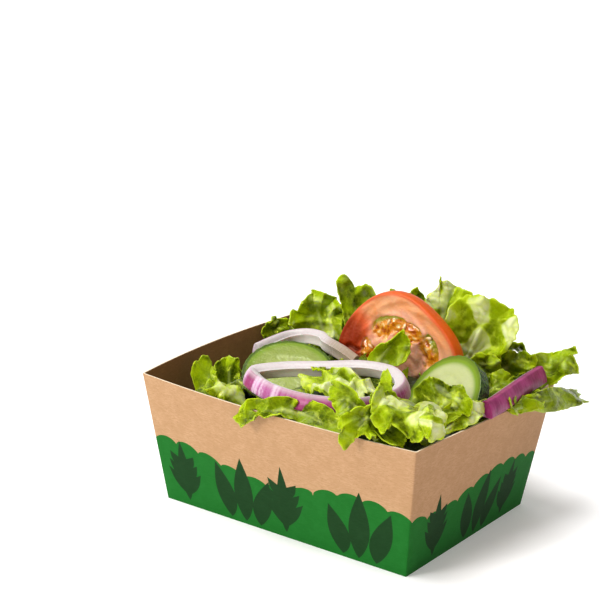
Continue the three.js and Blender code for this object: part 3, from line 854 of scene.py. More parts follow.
def seed_places():
    """Where the seeds lie on the cut face: radius and angle, by a seeded draw in each chamber."""
    draw = np.random.default_rng(7)
    places = []
    for middle, half, inner, outer in LOCULES:
        for ring in np.arange(inner + 2.4, outer - 1.6, SEED_RINGS):
            reach = half - math.degrees(2.2 / ring)
            count = max(1, int(math.radians(2 * reach) * ring / SEED_SPACING))
            for angle in np.linspace(-reach, reach, count):
                if draw.random() < SEED_SHARE:
                    angle_here = middle + angle + draw.uniform(-3, 3)
                    place = (ring + draw.uniform(-0.7, 0.7), math.radians(angle_here))
                    places.append((*place, draw.uniform(-0.7, 0.7)))
    return places


def make_tomato_seeds():
    points, faces = pebble(*TOMATO_SEED)
    parts = []
    for radius, angle, twist in seed_places():
        spin = Matrix.Rotation(angle + math.pi + twist, 4, "Z")
        for level in (-SEED_SINK, SEED_SINK - TOMATO_THICKNESS):
            at = Vector((radius * math.cos(angle), radius * math.sin(angle), level))
            seed = placed(points, Matrix.Translation(at) @ spin)
            parts.append((placed(seed, TOMATO_PLACE), faces, {}))
    points, faces, _ = joined(parts)
    faces = [tuple(dict.fromkeys(face))[::-1] for face in faces.tolist()]
    piece = mesh_object("tomato_seeds", points, faces, [tomato_seed_material()])
    return piece


CUCUMBER_UNEVEN = ((2, 0.012, 0.6), (3, 0.008, 0))
CUCUMBER_RIBS = 34
CUCUMBER_RIB_HEIGHT = 0.1
SEEDY_SINK = 0.3  # of the seedy middle below the cut face
SEEDS_IN_GROUP = 9
SEED_TURN = 10.5
SEED_HEIGHT = 0.08
SEED_REACH = 7.2
SEED_REACH_CHANGE = 1.9
SEED_HALF_LENGTH = 2.3
SEED_HALF_WIDTH = 0.75
RIM_SINK = 0.25
# Each slice with its place and how pale its flesh is.
CUCUMBERS = {
    "cucumber_slice_left": (standing((0.218, -0.38, 0.899), 0, (-24.4, -9.9, 53.2)), 0),
    "cucumber_slice_right": (standing((-0.305, -0.719, 0.625), 40, (44.2, -2.6, 56.8)), 1),
}


def seed_marks(radius, angle):
    """Pale pointed seeds in three groups round the middle of a cucumber's face."""
    marks = np.zeros_like(radius)
    for index in range(3 * SEEDS_IN_GROUP):
        group, member = divmod(index, SEEDS_IN_GROUP)
        middle = math.radians(120 * group + 20 + (member - (SEEDS_IN_GROUP - 1) / 2) * SEED_TURN)
        reach = SEED_REACH + SEED_REACH_CHANGE * math.cos(member * 2.4)
        x = radius * np.cos(angle - middle) - reach
        y = radius * np.sin(angle - middle)
        away = np.hypot(x / SEED_HALF_LENGTH, y / SEED_HALF_WIDTH)
        marks = np.maximum(marks, 1 - smoothstep(0.6, 1.0, away))
    return marks


def make_cucumber(name, matrix, pale, material):
    face = [(radius, 0) for radius in np.linspace(0.5, CUCUMBER_RADIUS - 0.5, 44)]
    rim = [(CUCUMBER_RADIUS - 0.2, -0.1), (CUCUMBER_RADIUS, -0.4)]
    side = [(CUCUMBER_RADIUS, -depth) for depth in np.linspace(0.9, CUCUMBER_THICKNESS - 0.9, 7)]
    rim_back = [(radius, -CUCUMBER_THICKNESS - height) for radius, height in rim[::-1]]
    back = [(radius, -CUCUMBER_THICKNESS) for radius, _ in face[::-1]]
    reach, angle, height = disc_rows(face + rim + side + rim_back + back, 160, CUCUMBER_UNEVEN)
    skin = np.zeros_like(reach)
    skin[len(face) : -len(back)] = 1
    radius_share = reach / CUCUMBER_RADIUS
    edge = smoothstep(0.68, 1.0, radius_share) ** 1.3 * (1 - skin)
    seedy = 1 - smoothstep(0.5, 0.62, radius_share + 0.05 * np.cos(3 * angle))
    seed = seed_marks(reach, angle) * (1 - skin)
    out = np.where(height < -CUCUMBER_THICKNESS / 2, -1, 1) * (1 - skin)
    rim_fall = RIM_SINK * smoothstep(0.93, 1, radius_share)
    height = height + out * (-SEEDY_SINK * seedy + SEED_HEIGHT * seed - rim_fall)
    ribs = CUCUMBER_RIB_HEIGHT * np.sin(angle * CUCUMBER_RIBS + np.sin(angle * 5)) * skin
    points, faces = rows_to_mesh(reach + ribs, angle, height)
    fields = {"edge": edge, "seedy": seedy, "seed": seed, "skin": skin}
    fields["pale"] = np.full_like(reach, pale)
    fields = {field: with_ends(values) for field, values in fields.items()}
    piece = mesh_object(name.replace("slice", "cut"), placed(points, matrix), faces, [material],
                        fields=fields)
    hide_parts(name)
    return piece


ONION_BULGE = 0.5
# Each piece by its upper outer edge, with its height, its wall and how far it flares downwards.
# With a fade of 0 the colour of the outer side covers the cut faces too.
ONIONS = {
    "onion_ring_front": {
        "closed": True, "fade": 1, "height": 6.3, "wall": 4.2, "flare": 2.3, "steps": 300,
        "edge": [
            (-23.5, -38, 63.8), (-16, -28.5, 65), (-1, -19.5, 66.5), (13, -11.5, 67.9),
            (27, -10.5, 68.3), (37, -18.5, 67.6), (39.5, -29, 66.8), (34, -40, 65.2),
            (22, -46.5, 64), (7, -49.5, 63.4), (-11, -46.5, 63.3),
        ],
    },
    "onion_arc_back": {
        "closed": False, "fade": 1, "height": 6.4, "wall": 3.4, "flare": 0.8, "steps": 150,
        "edge": [
            (-50.7, 2, 57.2), (-49.8, 12, 58), (-47.6, 21.5, 58.8), (-41, 26.5, 60),
            (-31, 24.6, 61.3), (-22.6, 17.4, 62.4), (-9.8, 10.4, 63), (-1.2, 7, 61.8),
        ],
    },
    "onion_strip_right": {
        "closed": False, "fade": 0, "height": 6.5, "wall": 4.2, "flare": 2.3, "steps": 90,
        "edge": [
            (65.3, 41, 63.6), (66, 29.5, 63.6), (67.4, 13, 63.6), (68.6, 1, 63.6), (69, -10, 63.6),
        ],
    },
}
ONION_HOLLOW = 0.3
ONION_ROLL = 1.8
ONION_SIDE_ROWS = 12
ONION_FACE_ROWS = 10
EDGE_ROUND = 0.35
ONION_SHARP = 60


def centripetal(points, closed, count):
    """Places evenly spaced along a centripetal Catmull-Rom curve through the points."""
    points = [np.array(point, dtype=float) for point in points]
    if closed:
        points = [points[-1], *points, points[0], points[1]]
    else:
        points = [2 * points[0] - points[1], *points, 2 * points[-1] - points[-2]]
    fine = []
    for p0, p1, p2, p3 in zip(points, points[1:], points[2:], points[3:]):
        t1, t2, t3 = np.cumsum([np.linalg.norm(b - a) ** 0.5 for a, b in ((p0, p1), (p1, p2), (p2, p3))])
        t = np.linspace(t1, t2, 40, endpoint=False)[:, None]
        a1 = (t1 - t) / t1 * p0 + t / t1 * p1
        a2 = (t2 - t) / (t2 - t1) * p1 + (t - t1) / (t2 - t1) * p2
        a3 = (t3 - t) / (t3 - t2) * p2 + (t - t2) / (t3 - t2) * p3
        b1 = (t2 - t) / t2 * a1 + t / t2 * a2
        b2 = (t3 - t) / (t3 - t1) * a2 + (t - t1) / (t3 - t1) * a3
        fine.append((t2 - t) / (t2 - t1) * b1 + (t - t1) / (t2 - t1) * b2)
    fine = np.concatenate([*fine, [points[-2]]])
    lengths = np.append(0, np.cumsum(np.linalg.norm(np.diff(fine, axis=0), axis=1)))
    runs = np.linspace(0, lengths[-1], count, endpoint=not closed)
    return np.stack([np.interp(runs, lengths, fine[:, k]) for k in range(3)], axis=-1), runs


def onion_section(height, wall, flare):
    """The band's section, outwards positive and the upper outer edge at its origin. The upper
    face rolls over to the inner side. Each point has its share of the outer and inner side."""
    side = height - 2 * EDGE_ROUND
    section = []
    for share in np.linspace(0, 1, ONION_SIDE_ROWS):
        bulge = ONION_BULGE * math.sin(math.pi * share)
        colored = 0.45 + 0.55 * min(1, 3.5 * share)
        section.append((flare * share + bulge, -EDGE_ROUND - side * share, colored, 0))
    for share in np.linspace(0, 1, ONION_FACE_ROWS):
        section.append((flare - EDGE_ROUND - (wall - 2 * EDGE_ROUND) * share, -height, 0, 0))
    for share in np.linspace(1, 0, ONION_SIDE_ROWS):
        hollow = ONION_HOLLOW * math.sin(math.pi * share)
        depth = ONION_ROLL + (height - EDGE_ROUND - ONION_ROLL) * share
        section.append((flare * share - wall + hollow, -depth, 0, 1))
    for share in np.linspace(1, 0, ONION_FACE_ROWS):
        across = -EDGE_ROUND - (wall - 2 * EDGE_ROUND) * share
        section.append((across, -ONION_ROLL * share**2.5, max(0, 0.6 - 3 * share), 0))
    return np.array(section)


# How purple the outer side is, by shares of the way along the band. Below 0 is brown painted shade.
ONION_PURPLE = {
    "onion_ring_front": (
        (0, 0.05), (0.44, 0.1), (0.48, 0.75), (0.6, 0.9), (0.78, 1), (0.8, 0.75), (0.833, 0.6),
        (0.845, 0.1), (0.856, 0.15), (0.864, 0.6), (0.882, 0.62), (0.892, 0.12), (0.903, 0.5),
        (0.913, 0.1), (0.927, 0.15), (0.936, 0.85), (0.965, 0.95), (0.98, 0.2), (1, 0.05),
    ),
    "onion_arc_back": ((0, 0.1), (0.15, 0.45), (0.4, 0.75), (0.6, 0), (0.75, -0.7), (1, -1)),
    "onion_strip_right": ((0, 1), (0.06, 0.85), (0.1, 1.1), (1, 1.1)),
}


def onion_purple_and_painted_shade(name, runs, total):
    """How purple the outer side is at runs along the band, and below 0 its brown painted shade."""
    shares, amounts = zip(*ONION_PURPLE[name])
    fine = np.sin(runs * 4.1 + 2 * np.sin(runs * 0.77)) + 0.8 * np.sin(runs * 2.6 + 1)
    return np.interp(runs / total, shares, amounts) + 0.1 * fine


def make_onion(name, form, material):
    closed = form["closed"]
    count = form["steps"] if closed else form["steps"] + 1
    places, runs = centripetal(form["edge"], closed, count)
    if closed:
        along = np.roll(places, -1, axis=0) - np.roll(places, 1, axis=0)
    else:
        along = np.gradient(places, axis=0)
    out = unit(np.stack([-along[:, 1], along[:, 0], 0 * along[:, 0]], axis=-1))
    section = onion_section(form["height"], form["wall"], form["flare"])
    columns = len(section)
    veins = 0.05 * np.sin(runs * 2.3 + np.sin(runs)) * np.sin(runs * 0.9)
    aside = section[:, 0] + veins[:, None] * section[:, 2]
    points = places[:, None, :] + out[:, None, :] * aside[:, :, None]
    points[:, :, 2] += section[:, 1]
    bands = ring_faces(count + 1 if closed else count, columns) % (count * columns)
    faces = [tuple(face[::-1]) for face in bands]
    if not closed:
        faces.append(tuple(np.arange(columns)))
        faces.append(tuple((count - 1) * columns + np.arange(columns))[::-1])
    ones = np.ones(count)[:, None]
    total = runs[-1] * count / (count - 1) if closed else runs[-1]
    purple_and_painted_shade = onion_purple_and_painted_shade(name, runs, total)[:, None] * np.ones(columns)
    outer = section[:, 2] ** form["fade"]
    fields = {"outer": ones * outer, "inner": ones * section[:, 3], "purple_and_painted_shade": purple_and_painted_shade}
    piece = mesh_object(name.replace("onion", "red_onion"), points.reshape(-1, 3), faces, [material],
                        fields=fields)
    sharpen(piece, ONION_SHARP)
    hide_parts(name)
    return piece


# ---- Lettuce ----

LEAF_THICKNESS = 0.5
RIB_THICKER = 1.2
LEAF_TAPER = 0.22
OUTLINE_LOBE = 0.07
OUTLINE_SCALLOP = 0.08
OUTLINE_TOOTH = 0.03
FRILL_GROWTH = 2.5
FRILL_AT_ROOT = 0.35
FRILL_SWAY = 0.4
BUCKLE = {"height": 1.1, "along": 2.7, "across": 2.3}
RIPPLE = 0.36  # the finer frill that rides on the first, as a share of its height
RIPPLE_GROWTH = 6
CRIMP = 0.09  # the finest frill, as a share of the first
CRIMP_GROWTH = 11
BEND = 1.8  # how far the folds wander
BEND_SPACING = 16
PATCH_SPACING = 13  # of the blistered patches
FOLD_SPACING = 15
FOLD_HEIGHT = 2.2
CRUMPLE_SPACING = 8
CRUMPLE_HEIGHT = 0.5
BLISTER = 3.8
BLISTER_HEIGHT = 0.5
BLISTER_STRAY = 0.42
BLISTER_SEAM = 0.75
WAVES = 7  # that make up an uneven surface
CLEARANCE = 0.3  # from toppings and board
DEEPEST_PRESS = 2.2  # a leaf this far inside a topping is cut back and not pressed out
LEAST_LEAF = 0.15  # share of a leaf that is left, or else it goes
LEAF_CELLS = 60
FILLER_CELLS = 30
FILLER_ROWS = np.linspace(-0.82, 0.82, 7)
FILLER_COLUMNS = np.linspace(-0.86, 0.86, 9)
SPACE_OVER_CUCUMBER = 16  # kept free of small leaves

TOWARDS_VIEWER = (0.45, -0.8, 0.4)
UPWARDS = (0.15, -0.35, 0.92)


def leaf(root, middle, tip, width, face, edge=(), **shape):
    """A leaf by the root, middle and tip of its rib, its width, and the way its face looks. edge
    is its outline where that is known: turns from the tip in degrees, each with a reach of about
    1. puffs is how blistered and fold how crumpled it is."""
    form = {"root": root, "middle": middle, "tip": tip, "width": width, "face": face, "edge": edge}
    form |= {"cup": 2, "frill": 2.4, "waves": 5, "tone": 0, "pale": 0.1, "puffs": 1, "fold": 1}
    return form | shape


LEAVES = {
    "lettuce_back_left": [
        leaf((-46, 34, 38), (-54, 32, 51), (-60, 28, 60), 17, (0.3, -0.6, 0.7), cup=-3, tone=0.3,
             pale=0.2, puffs=1.4,
             edge=((-90, 0.8), (-60, 0.6), (-10, 0.9), (10, 1.2), (30, 1.35), (60, 1.2), (180, 1))),
        leaf((-36, 42, 45), (-44, 41, 59), (-48, 42, 72), 32, TOWARDS_VIEWER, frill=3.2, waves=7,
             tone=0.35, pale=0.3, puffs=0.8, fold=0.6,
             edge=((-110, 0.9), (-75, 0.82), (-20, 0.92), (0, 1), (20, 0.8), (48, 0.72), (65, 0.95),
                   (80, 1.04), (110, 0.8), (180, 1))),
        leaf((-14, 37, 47), (-22, 38, 65), (-31, 38, 82), 24, TOWARDS_VIEWER, frill=1.3, waves=3,
             pale=0.15, puffs=0.2, fold=0.4,
             edge=((-90, 0.9), (-55, 1.12), (-40, 0.88), (-20, 0.72), (-3, 1.08), (8, 1.08), (30, 0.78),
                   (60, 0.58), (180, 1))),
        leaf((-2, 32, 50), (2, 35, 70), (4, 38, 84), 22, TOWARDS_VIEWER, waves=4, tone=0.1,
             pale=0.2, puffs=0.4, fold=0.7,
             edge=((-90, 0.8), (-60, 0.7), (-40, 0.84), (-10, 1.14), (4, 0.86), (25, 0.86), (50, 1.2),
                   (70, 0.9), (180, 1))),
    ],
    "lettuce_back_right": [
        leaf((22, 30, 50), (19, 35, 72), (14, 39, 90), 27, TOWARDS_VIEWER, cup=4, frill=3, tone=0.3,
             pale=1.2, puffs=1.4, fold=0.7,
             edge=((-80, 1.3), (-60, 1.3), (-45, 1.05), (-18, 0.96), (-8, 1.06), (5, 0.8), (20, 0.68),
                   (60, 0.7), (180, 1))),
        leaf((30, 26, 50), (38, 34, 69), (48, 41, 87), 40, (0.3, -0.85, 0.4), cup=5, frill=2,
             tone=0.45, pale=0.85, puffs=1.5, fold=0.8,
             edge=((-100, 0.9), (-75, 0.75), (-50, 0.84), (-30, 0.96), (30, 0.9), (60, 1.04), (75, 1.04),
                   (95, 0.85), (180, 1))),
        leaf((36, 28, 48), (50, 37, 60), (57, 44, 66), 24, (0.2, -0.75, 0.6),
             edge=((-60, 0.6), (-40, 0.9), (-22, 1.12), (-8, 1.1), (5, 0.92), (30, 0.68), (60, 0.55),
                   (100, 0.7), (180, 1), (-100, 0.8))),
        leaf((42, 34, 48), (60, 45, 57), (76, 50, 63.5), 20, (0.1, -0.85, 0.5), cup=3, tone=0.2,
             pale=0.2, puffs=0.8,
             edge=((-60, 0.8), (-30, 0.7), (-10, 0.96), (10, 1.02), (28, 1.14), (40, 1.34), (50, 1.06),
                   (80, 1), (180, 1))),
        leaf((60, 10, 51.5), (72.2, 22, 55.2), (74.6, 57.5, 48.5), 14, (0.9, -0.1, 0.4), cup=-1,
             frill=1.2, waves=3, pale=0.15, puffs=0.5, fold=0.5,
             edge=((-90, 0.6), (-50, 0.95), (-20, 1.12), (0, 0.98), (20, 1.12), (50, 0.95), (90, 0.6),
                   (180, 1))),
        leaf((38, 20, 49), (46, 24, 60), (50, 28, 67), 17, TOWARDS_VIEWER, waves=4, tone=-0.2,
             pale=0.2),
        leaf((48, 16, 48), (55, 19, 57), (60, 24, 63), 15, UPWARDS, cup=-2, waves=3, tone=0.3,
             puffs=0.4, fold=0.4,
             edge=((-90, 0.8), (-40, 0.62), (-20, 1), (0, 1.12), (80, 1.1), (105, 0.8), (180, 1))),
    ],
    "lettuce_front": [
        leaf((47, -38, 47), (44, -42, 62), (37, -34, 74.5), 13, TOWARDS_VIEWER, frill=1.6, waves=3,
             tone=0.5, pale=0.25, puffs=0.3, fold=0.5,
             edge=((-95, 0.7), (-72, 0.95), (-45, 0.7), (-25, 0.78), (-8, 1.1), (0, 1.04), (15, 0.82),
                   (50, 0.8), (75, 1.2), (95, 0.8), (180, 1))),
        leaf((44, -43, 47), (35, -50, 64.5), (22, -50, 67), 15, TOWARDS_VIEWER, waves=4, tone=0.1,
             pale=0.15, puffs=0.5, fold=0.5,
             edge=((-110, 0.6), (-80, 0.52), (-58, 0.7), (-40, 1.16), (-24, 0.98), (0, 0.92), (30, 0.84),
                   (50, 0.9), (88, 1.24), (110, 0.98), (135, 0.8), (180, 1))),
        leaf((46, -36, 47), (43, -54, 63), (38, -62.5, 52), 20, (0.35, -0.75, 0.55), frill=1.6,
             tone=0.3, puffs=0.3, fold=0.5,
             edge=((-110, 0.7), (-80, 0.5), (-55, 0.78), (-40, 0.88), (-28, 0.76), (-8, 0.9), (0, 1),
                   (20, 0.78), (42, 0.66), (60, 1.04), (75, 0.92), (110, 1), (135, 0.8), (180, 1))),
        leaf((44, -26, 48), (50, -41, 66), (52, -55, 60), 26, (0.3, -0.6, 0.75), frill=2.6,
             tone=0.1, pale=0.5, puffs=1.3,
             edge=((-90, 0.8), (-55, 1), (-30, 1.04), (-4, 1.02), (10, 0.84), (30, 1.06), (50, 1.45),
                   (60, 1.45), (74, 1), (92, 0.8), (120, 1.2), (180, 1))),
        leaf((53, -28, 46), (62, -39, 68), (67, -52, 58.5), 20, (0.4, -0.4, 0.82), cup=-4, tone=0.5,
             pale=0.9, puffs=0.4, fold=0.7,
             edge=((-120, 1.2), (-95, 0.65), (-70, 0.55), (-40, 0.68), (-10, 0.9), (20, 1), (40, 1),
                   (55, 0.7), (90, 0.7), (115, 1.2), (180, 1))),
        leaf((49, -32, 46), (56, -24, 61), (61, -18, 68.5), 25, (0.2, -0.85, 0.5), frill=2.6,
             tone=-0.1, pale=0.25, puffs=1.3, fold=0.7,
             edge=((-90, 0.7), (-60, 0.86), (-40, 1.15), (-20, 1.35), (0, 1.3), (12, 1.02), (30, 0.82),
                   (50, 0.94), (75, 1.2), (90, 1.35), (115, 1), (180, 1))),
        leaf((52, -34, 47), (60, -22, 59), (67, -9, 64), 14, (0.5, -0.5, 0.7), waves=4, tone=0.2,
             pale=0.7,
             edge=((-110, 1), (-88, 1.35), (-60, 1.2), (-30, 1), (0, 1.06), (15, 0.8), (90, 0.7),
                   (180, 0.9))),
        leaf((28, -40, 48), (44, -47, 58), (59, -50, 56.5), 16, UPWARDS, frill=0.8, waves=3,
             pale=0.0, puffs=0.1, fold=0.3),
        leaf((20, -42, 45), (4, -56.5, 57.6), (-8, -63, 49), 16, (0.1, -0.6, 0.8), frill=1.2,
             tone=0.1, puffs=0.4, fold=0.4,
             edge=((-110, 0.94), (-75, 0.62), (-58, 1.1), (-30, 1.14), (-10, 1.04), (5, 0.84),
                   (20, 0.62), (40, 0.55), (130, 0.7), (180, 0.9))),
        leaf((-6, -40, 46), (14, -52, 56), (36, -53, 53), 14, (0, -0.6, 0.8), frill=0.8, waves=2,
             tone=0.1, puffs=0.1, fold=0.3),
    ],
    "lettuce_left": [
        leaf((-38, -28, 37), (-49, -30, 47), (-53, -23, 57), 20, TOWARDS_VIEWER, frill=0.9, waves=2,
             tone=0.3, puffs=0.1, fold=0.3,
             edge=((-110, 0.6), (-50, 0.66), (-20, 0.68), (0, 0.78), (16, 1.02), (24, 1.04), (36, 0.92),
                   (60, 0.92), (80, 0.78), (110, 0.7), (180, 1))),
        leaf((-34, -32, 41), (-41, -28, 51), (-41, -24, 60), 18, TOWARDS_VIEWER, frill=2.2,
             pale=0.2, puffs=0.5, fold=0.8,
             edge=((-110, 0.6), (-50, 0.62), (-30, 0.8), (-15, 1.1), (0, 1), (30, 0.86), (50, 0.92),
                   (70, 0.74), (110, 0.6), (180, 1))),
        leaf((-18, -41, 45), (-29, -46, 55), (-39, -47, 53), 18, (0, -0.5, 0.86), cup=-2, tone=0.1,
             pale=0.35, puffs=0.3, fold=0.2,
             edge=((-110, 0.7), (-70, 0.5), (-40, 0.46), (-10, 0.64), (10, 0.76), (120, 0.72),
                   (180, 0.8))),
        leaf((34, -33, 60), (14, -28, 65.5), (-6, -33, 60.5), 25, (0.1, -0.35, 0.93), cup=-2,
             frill=1.3, waves=4, tone=0.4, pale=0.9, fold=0.9,
             edge=((-140, 0.9), (-95, 0.6), (-50, 0.74), (0, 0.86), (50, 0.96), (95, 1.15), (130, 0.98),
                   (180, 0.72))),
        leaf((6, 2, 53), (11, 6, 65), (19, 8, 75), 13, TOWARDS_VIEWER, frill=1.6, waves=3, tone=0.6,
             pale=0.2, puffs=0.6, fold=0.6,
             edge=((-95, 1.2), (-72, 1.6), (-50, 1.36), (-20, 1.04), (0, 1.06), (10, 1.16), (20, 0.62),
                   (50, 0.6), (80, 0.78), (110, 1.05), (135, 0.8), (180, 0.9))),
        leaf((-42, 4, 34), (-51, 3, 38), (-59, 1, 35), 26, (-0.2, -0.2, 0.9), frill=1.6),
        leaf((-42, 26, 36), (-50, 29, 43), (-56, 36, 40), 24, (-0.2, -0.2, 0.9), frill=2),
    ],
    "lettuce_walls": [
        leaf((54, 14, 46), (67.6, 14, 57), (72.6, 12, 50.5), 26, (0.6, 0, 0.8), frill=1.6, tone=0.2,
             edge=((-100, 0.9), (-40, 0.96), (0, 0.8), (30, 0.86), (50, 1), (70, 1.4), (85, 1.55),
                   (110, 1.1), (180, 1))),
        leaf((-40, 38, 42), (-50, 44, 51), (-57, 49, 50), 22, (-0.4, 0.4, 0.8)),
        leaf((-26, 38, 44), (-24, 46, 58), (-22, 55, 62), 30, (0, 0.75, 0.65), frill=2.6),
        leaf((6, 34, 47), (10, 45, 62), (14, 54, 70), 30, (0, 0.75, 0.65), frill=2.8),
        leaf((34, 36, 47), (40, 46, 60), (44, 55, 65), 28, (0.2, 0.75, 0.65), frill=2.6),
        leaf((-8, 28, 49), (-9, 35, 64), (-14, 43, 73), 24, (0, 0.5, 0.85)),
        leaf((22, 42, 44), (27, 57, 57.8), (30, 65, 50), 20, (0, 0.6, 0.8), frill=2),
    ],
}


def disc_grid(cells):
    """A square grid drawn in to a disc: p runs along the rib and q across it."""
    line = np.linspace(-1, 1, cells + 1)
    b, a = np.meshgrid(line, line, indexing="ij")
    return a * np.sqrt(1 - b * b / 2), b * np.sqrt(1 - a * a / 2)


def wavy(x, y, size, seed):
    """A smooth uneven height from about -1 to 1, with its hills about a size apart."""
    total = np.zeros_like(x)
    for index in range(WAVES):
        turn = 2 * math.pi * hashed(seed, 20 + index)
        pace = 2 * math.pi / size * (0.65 + 0.7 * hashed(seed, 40 + index))
        start = 2 * math.pi * hashed(seed, 60 + index)
        total += np.sin(pace * (x * math.cos(turn) + y * math.sin(turn)) + start)
    return total / WAVES**0.5


def blisters(x, y, size, seed):
    """Domes packed side by side, from 0 in the seams between them to 1."""
    draw = np.random.default_rng(seed)
    span = max(np.abs(x).max(), np.abs(y).max()) + size
    line = np.arange(-span, span, size)
    spots = np.stack(np.meshgrid(line, line), axis=-1).reshape(-1, 2)
    spots = spots + draw.uniform(-BLISTER_STRAY, BLISTER_STRAY, spots.shape) * size
    away = np.hypot(x[..., None] - spots[:, 0], y[..., None] - spots[:, 1])
    nearest = np.partition(away, 1, axis=-1)[..., :2]
    return smoothstep(0, BLISTER_SEAM * size, nearest[..., 1] - nearest[..., 0])


def leaf_outline(form, angle, phase):
    teeth = np.sin(13 * angle + phase(8)) * np.sin(5 * angle + phase(9)) + 0.5 * np.sin(29 * angle)
    if form["edge"]:
        turns, reaches = zip(*form["edge"])
        outline = np.interp(np.degrees(angle), turns, reaches, period=360)
        return outline * (1 + OUTLINE_TOOTH * teeth)
    lobes = np.sin(2 * angle + phase(1)) + np.sin(3 * angle + phase(2))
    scallops = np.abs(np.sin(2.5 * angle + phase(3))) - 2 / math.pi
    return 1 + OUTLINE_LOBE * lobes + OUTLINE_SCALLOP * scallops + OUTLINE_TOOTH * teeth


def leaf_relief(form, seed, along, across):
    """The crumpling of a leaf over its frilled form, and how blistered and how pale it is."""
    x = along + BEND * wavy(along, across, BEND_SPACING, seed + 0.1)
    y = across + BEND * wavy(along, across, BEND_SPACING, seed + 0.2)
    ridges = 0.5 - np.abs(wavy(x, y, FOLD_SPACING, seed + 0.3))
    crumple = wavy(x, y, CRUMPLE_SPACING, seed + 0.4)
    dome = blisters(x, y, BLISTER, seed)
    patch = smoothstep(-0.3, 0.7, wavy(x, y, PATCH_SPACING, seed + 0.5))
    lift = form["fold"] * (FOLD_HEIGHT * ridges + CRUMPLE_HEIGHT * crumple)
    lift = lift + form["puffs"] * BLISTER_HEIGHT * dome * (0.35 + 0.65 * patch)
    return lift, dome * patch, patch


def leaf_rib(form, reach):
    """The rib's curve at shares of its length, its heading and the way across it there, and half
    the rib's length."""
    root, middle, tip = (np.array(form[key], dtype=float) for key in ("root", "middle", "tip"))
    spine = root * (1 - reach) * (1 - 2 * reach) + middle * 4 * reach * (1 - reach)
    spine = spine + tip * reach * (2 * reach - 1)
    heading = unit(root * (4 * reach - 3) + middle * (4 - 8 * reach) + tip * (4 * reach - 1))
    sideways = unit(np.cross(np.array(form["face"], dtype=float), heading))
    half_length = (np.linalg.norm(middle - root) + np.linalg.norm(tip - middle)) / 2
    return spine, heading, sideways, half_length


def leaf_frill(form, radius, angle, phase):
    """How far the margin's three frills lift the leaf, and how far it sways to the side."""
    towards_tip = 0.5 + 0.5 * np.cos(angle)
    shown = FRILL_AT_ROOT + (1 - FRILL_AT_ROOT) * towards_tip
    wave = form["waves"] * angle + phase(4) + 0.7 * np.sin(angle + phase(5))
    finer = 3 * wave + 1.4 * np.sin(2 * angle + phase(10)) + phase(11)
    finest = 7 * wave + 2.0 * np.sin(3 * angle + phase(13)) + phase(14)
    frill = form["frill"]
    first = frill * radius**FRILL_GROWTH * shown
    second = frill * RIPPLE * radius**RIPPLE_GROWTH * shown * (0.75 + 0.25 * np.sin(4 * angle))
    third = frill * CRIMP * radius**CRIMP_GROWTH * shown
    sway = FRILL_SWAY * (first * np.sin(2 * wave) + second * np.sin(2 * finer))
    return first * np.sin(wave) + second * np.sin(finer) + third * np.sin(finest), sway


def leaf_sheet(form, seed, cells):
    """The middle surface of a leaf on a grid, its thickness there, and the fields."""

    def phase(index):
        return 2 * math.pi * hashed(seed, index)

    p, q = disc_grid(cells)
    radius = np.minimum(np.hypot(p, q), 1)
    angle = np.arctan2(q, p)
    outline = leaf_outline(form, angle, phase)
    reach = np.clip((1 + p * outline) / 2, 0, 1.15)
    spine, heading, sideways, half_length = leaf_rib(form, reach[..., None])
    facing = np.cross(heading, sideways)
    half_width = form["width"] / 2 * (1 - LEAF_TAPER * (1 - p))
    across = q * outline * half_width
    relief, puff, patch = leaf_relief(form, seed, p * outline * half_length, across)

    lift, sway = leaf_frill(form, radius, angle, phase)
    buckle = np.sin(BUCKLE["along"] * p + phase(6)) * np.sin(BUCKLE["across"] * q + phase(7))
    lift = lift + form["cup"] * q**2 + BUCKLE["height"] * buckle + relief
    places = spine + sideways * (across + sway * np.cos(angle))[..., None]
    places = places - heading * (sway * np.sin(angle))[..., None] + facing * lift[..., None]

    rib_half = 0.3 + 1.6 * (1 - reach.clip(0, 1)) ** 2
    rib = np.exp(-((across / rib_half) ** 2)) * (1 - smoothstep(0.35, 0.8, reach))
    near_root = smoothstep(0.5, 0.0, reach)
    inner = 1 - 0.45 * smoothstep(0.65, 1, radius)
    fields = {
        "margin": radius, "vein": rib, "puff": puff,
        "pale": np.clip(inner * form["pale"] * (0.3 + 1.1 * patch) + 0.5 * near_root, 0, 1),
        "tone": form["tone"] + 0 * radius,
    }
    return places, LEAF_THICKNESS * (1 + RIB_THICKER * rib), fields


def both_sides(places, thickness):
    """The points of a sheet's upper face and then of its lower face."""
    normals = unit(np.cross(np.gradient(places, axis=0), np.gradient(places, axis=1)))
    half = normals * (thickness / 2)[..., None]
    return np.concatenate([(places + half).reshape(-1, 3), (places - half).reshape(-1, 3)])


def closed_faces(cells, under):
    """The cells of a sheet, the same cells of its lower face and the rim between them. The lower
    face's points come after the upper ones, which number under."""
    edges = np.concatenate([cells[:, [k, (k + 1) % 4]] for k in range(4)])
    known = {tuple(edge) for edge in edges.tolist()}
    border = np.array([edge for edge in known if (edge[1], edge[0]) not in known])
    rim = np.stack([border[:, 1], border[:, 0], border[:, 0] + under, border[:, 1] + under], axis=-1)
    return np.concatenate([cells, cells[:, ::-1] + under, rim])


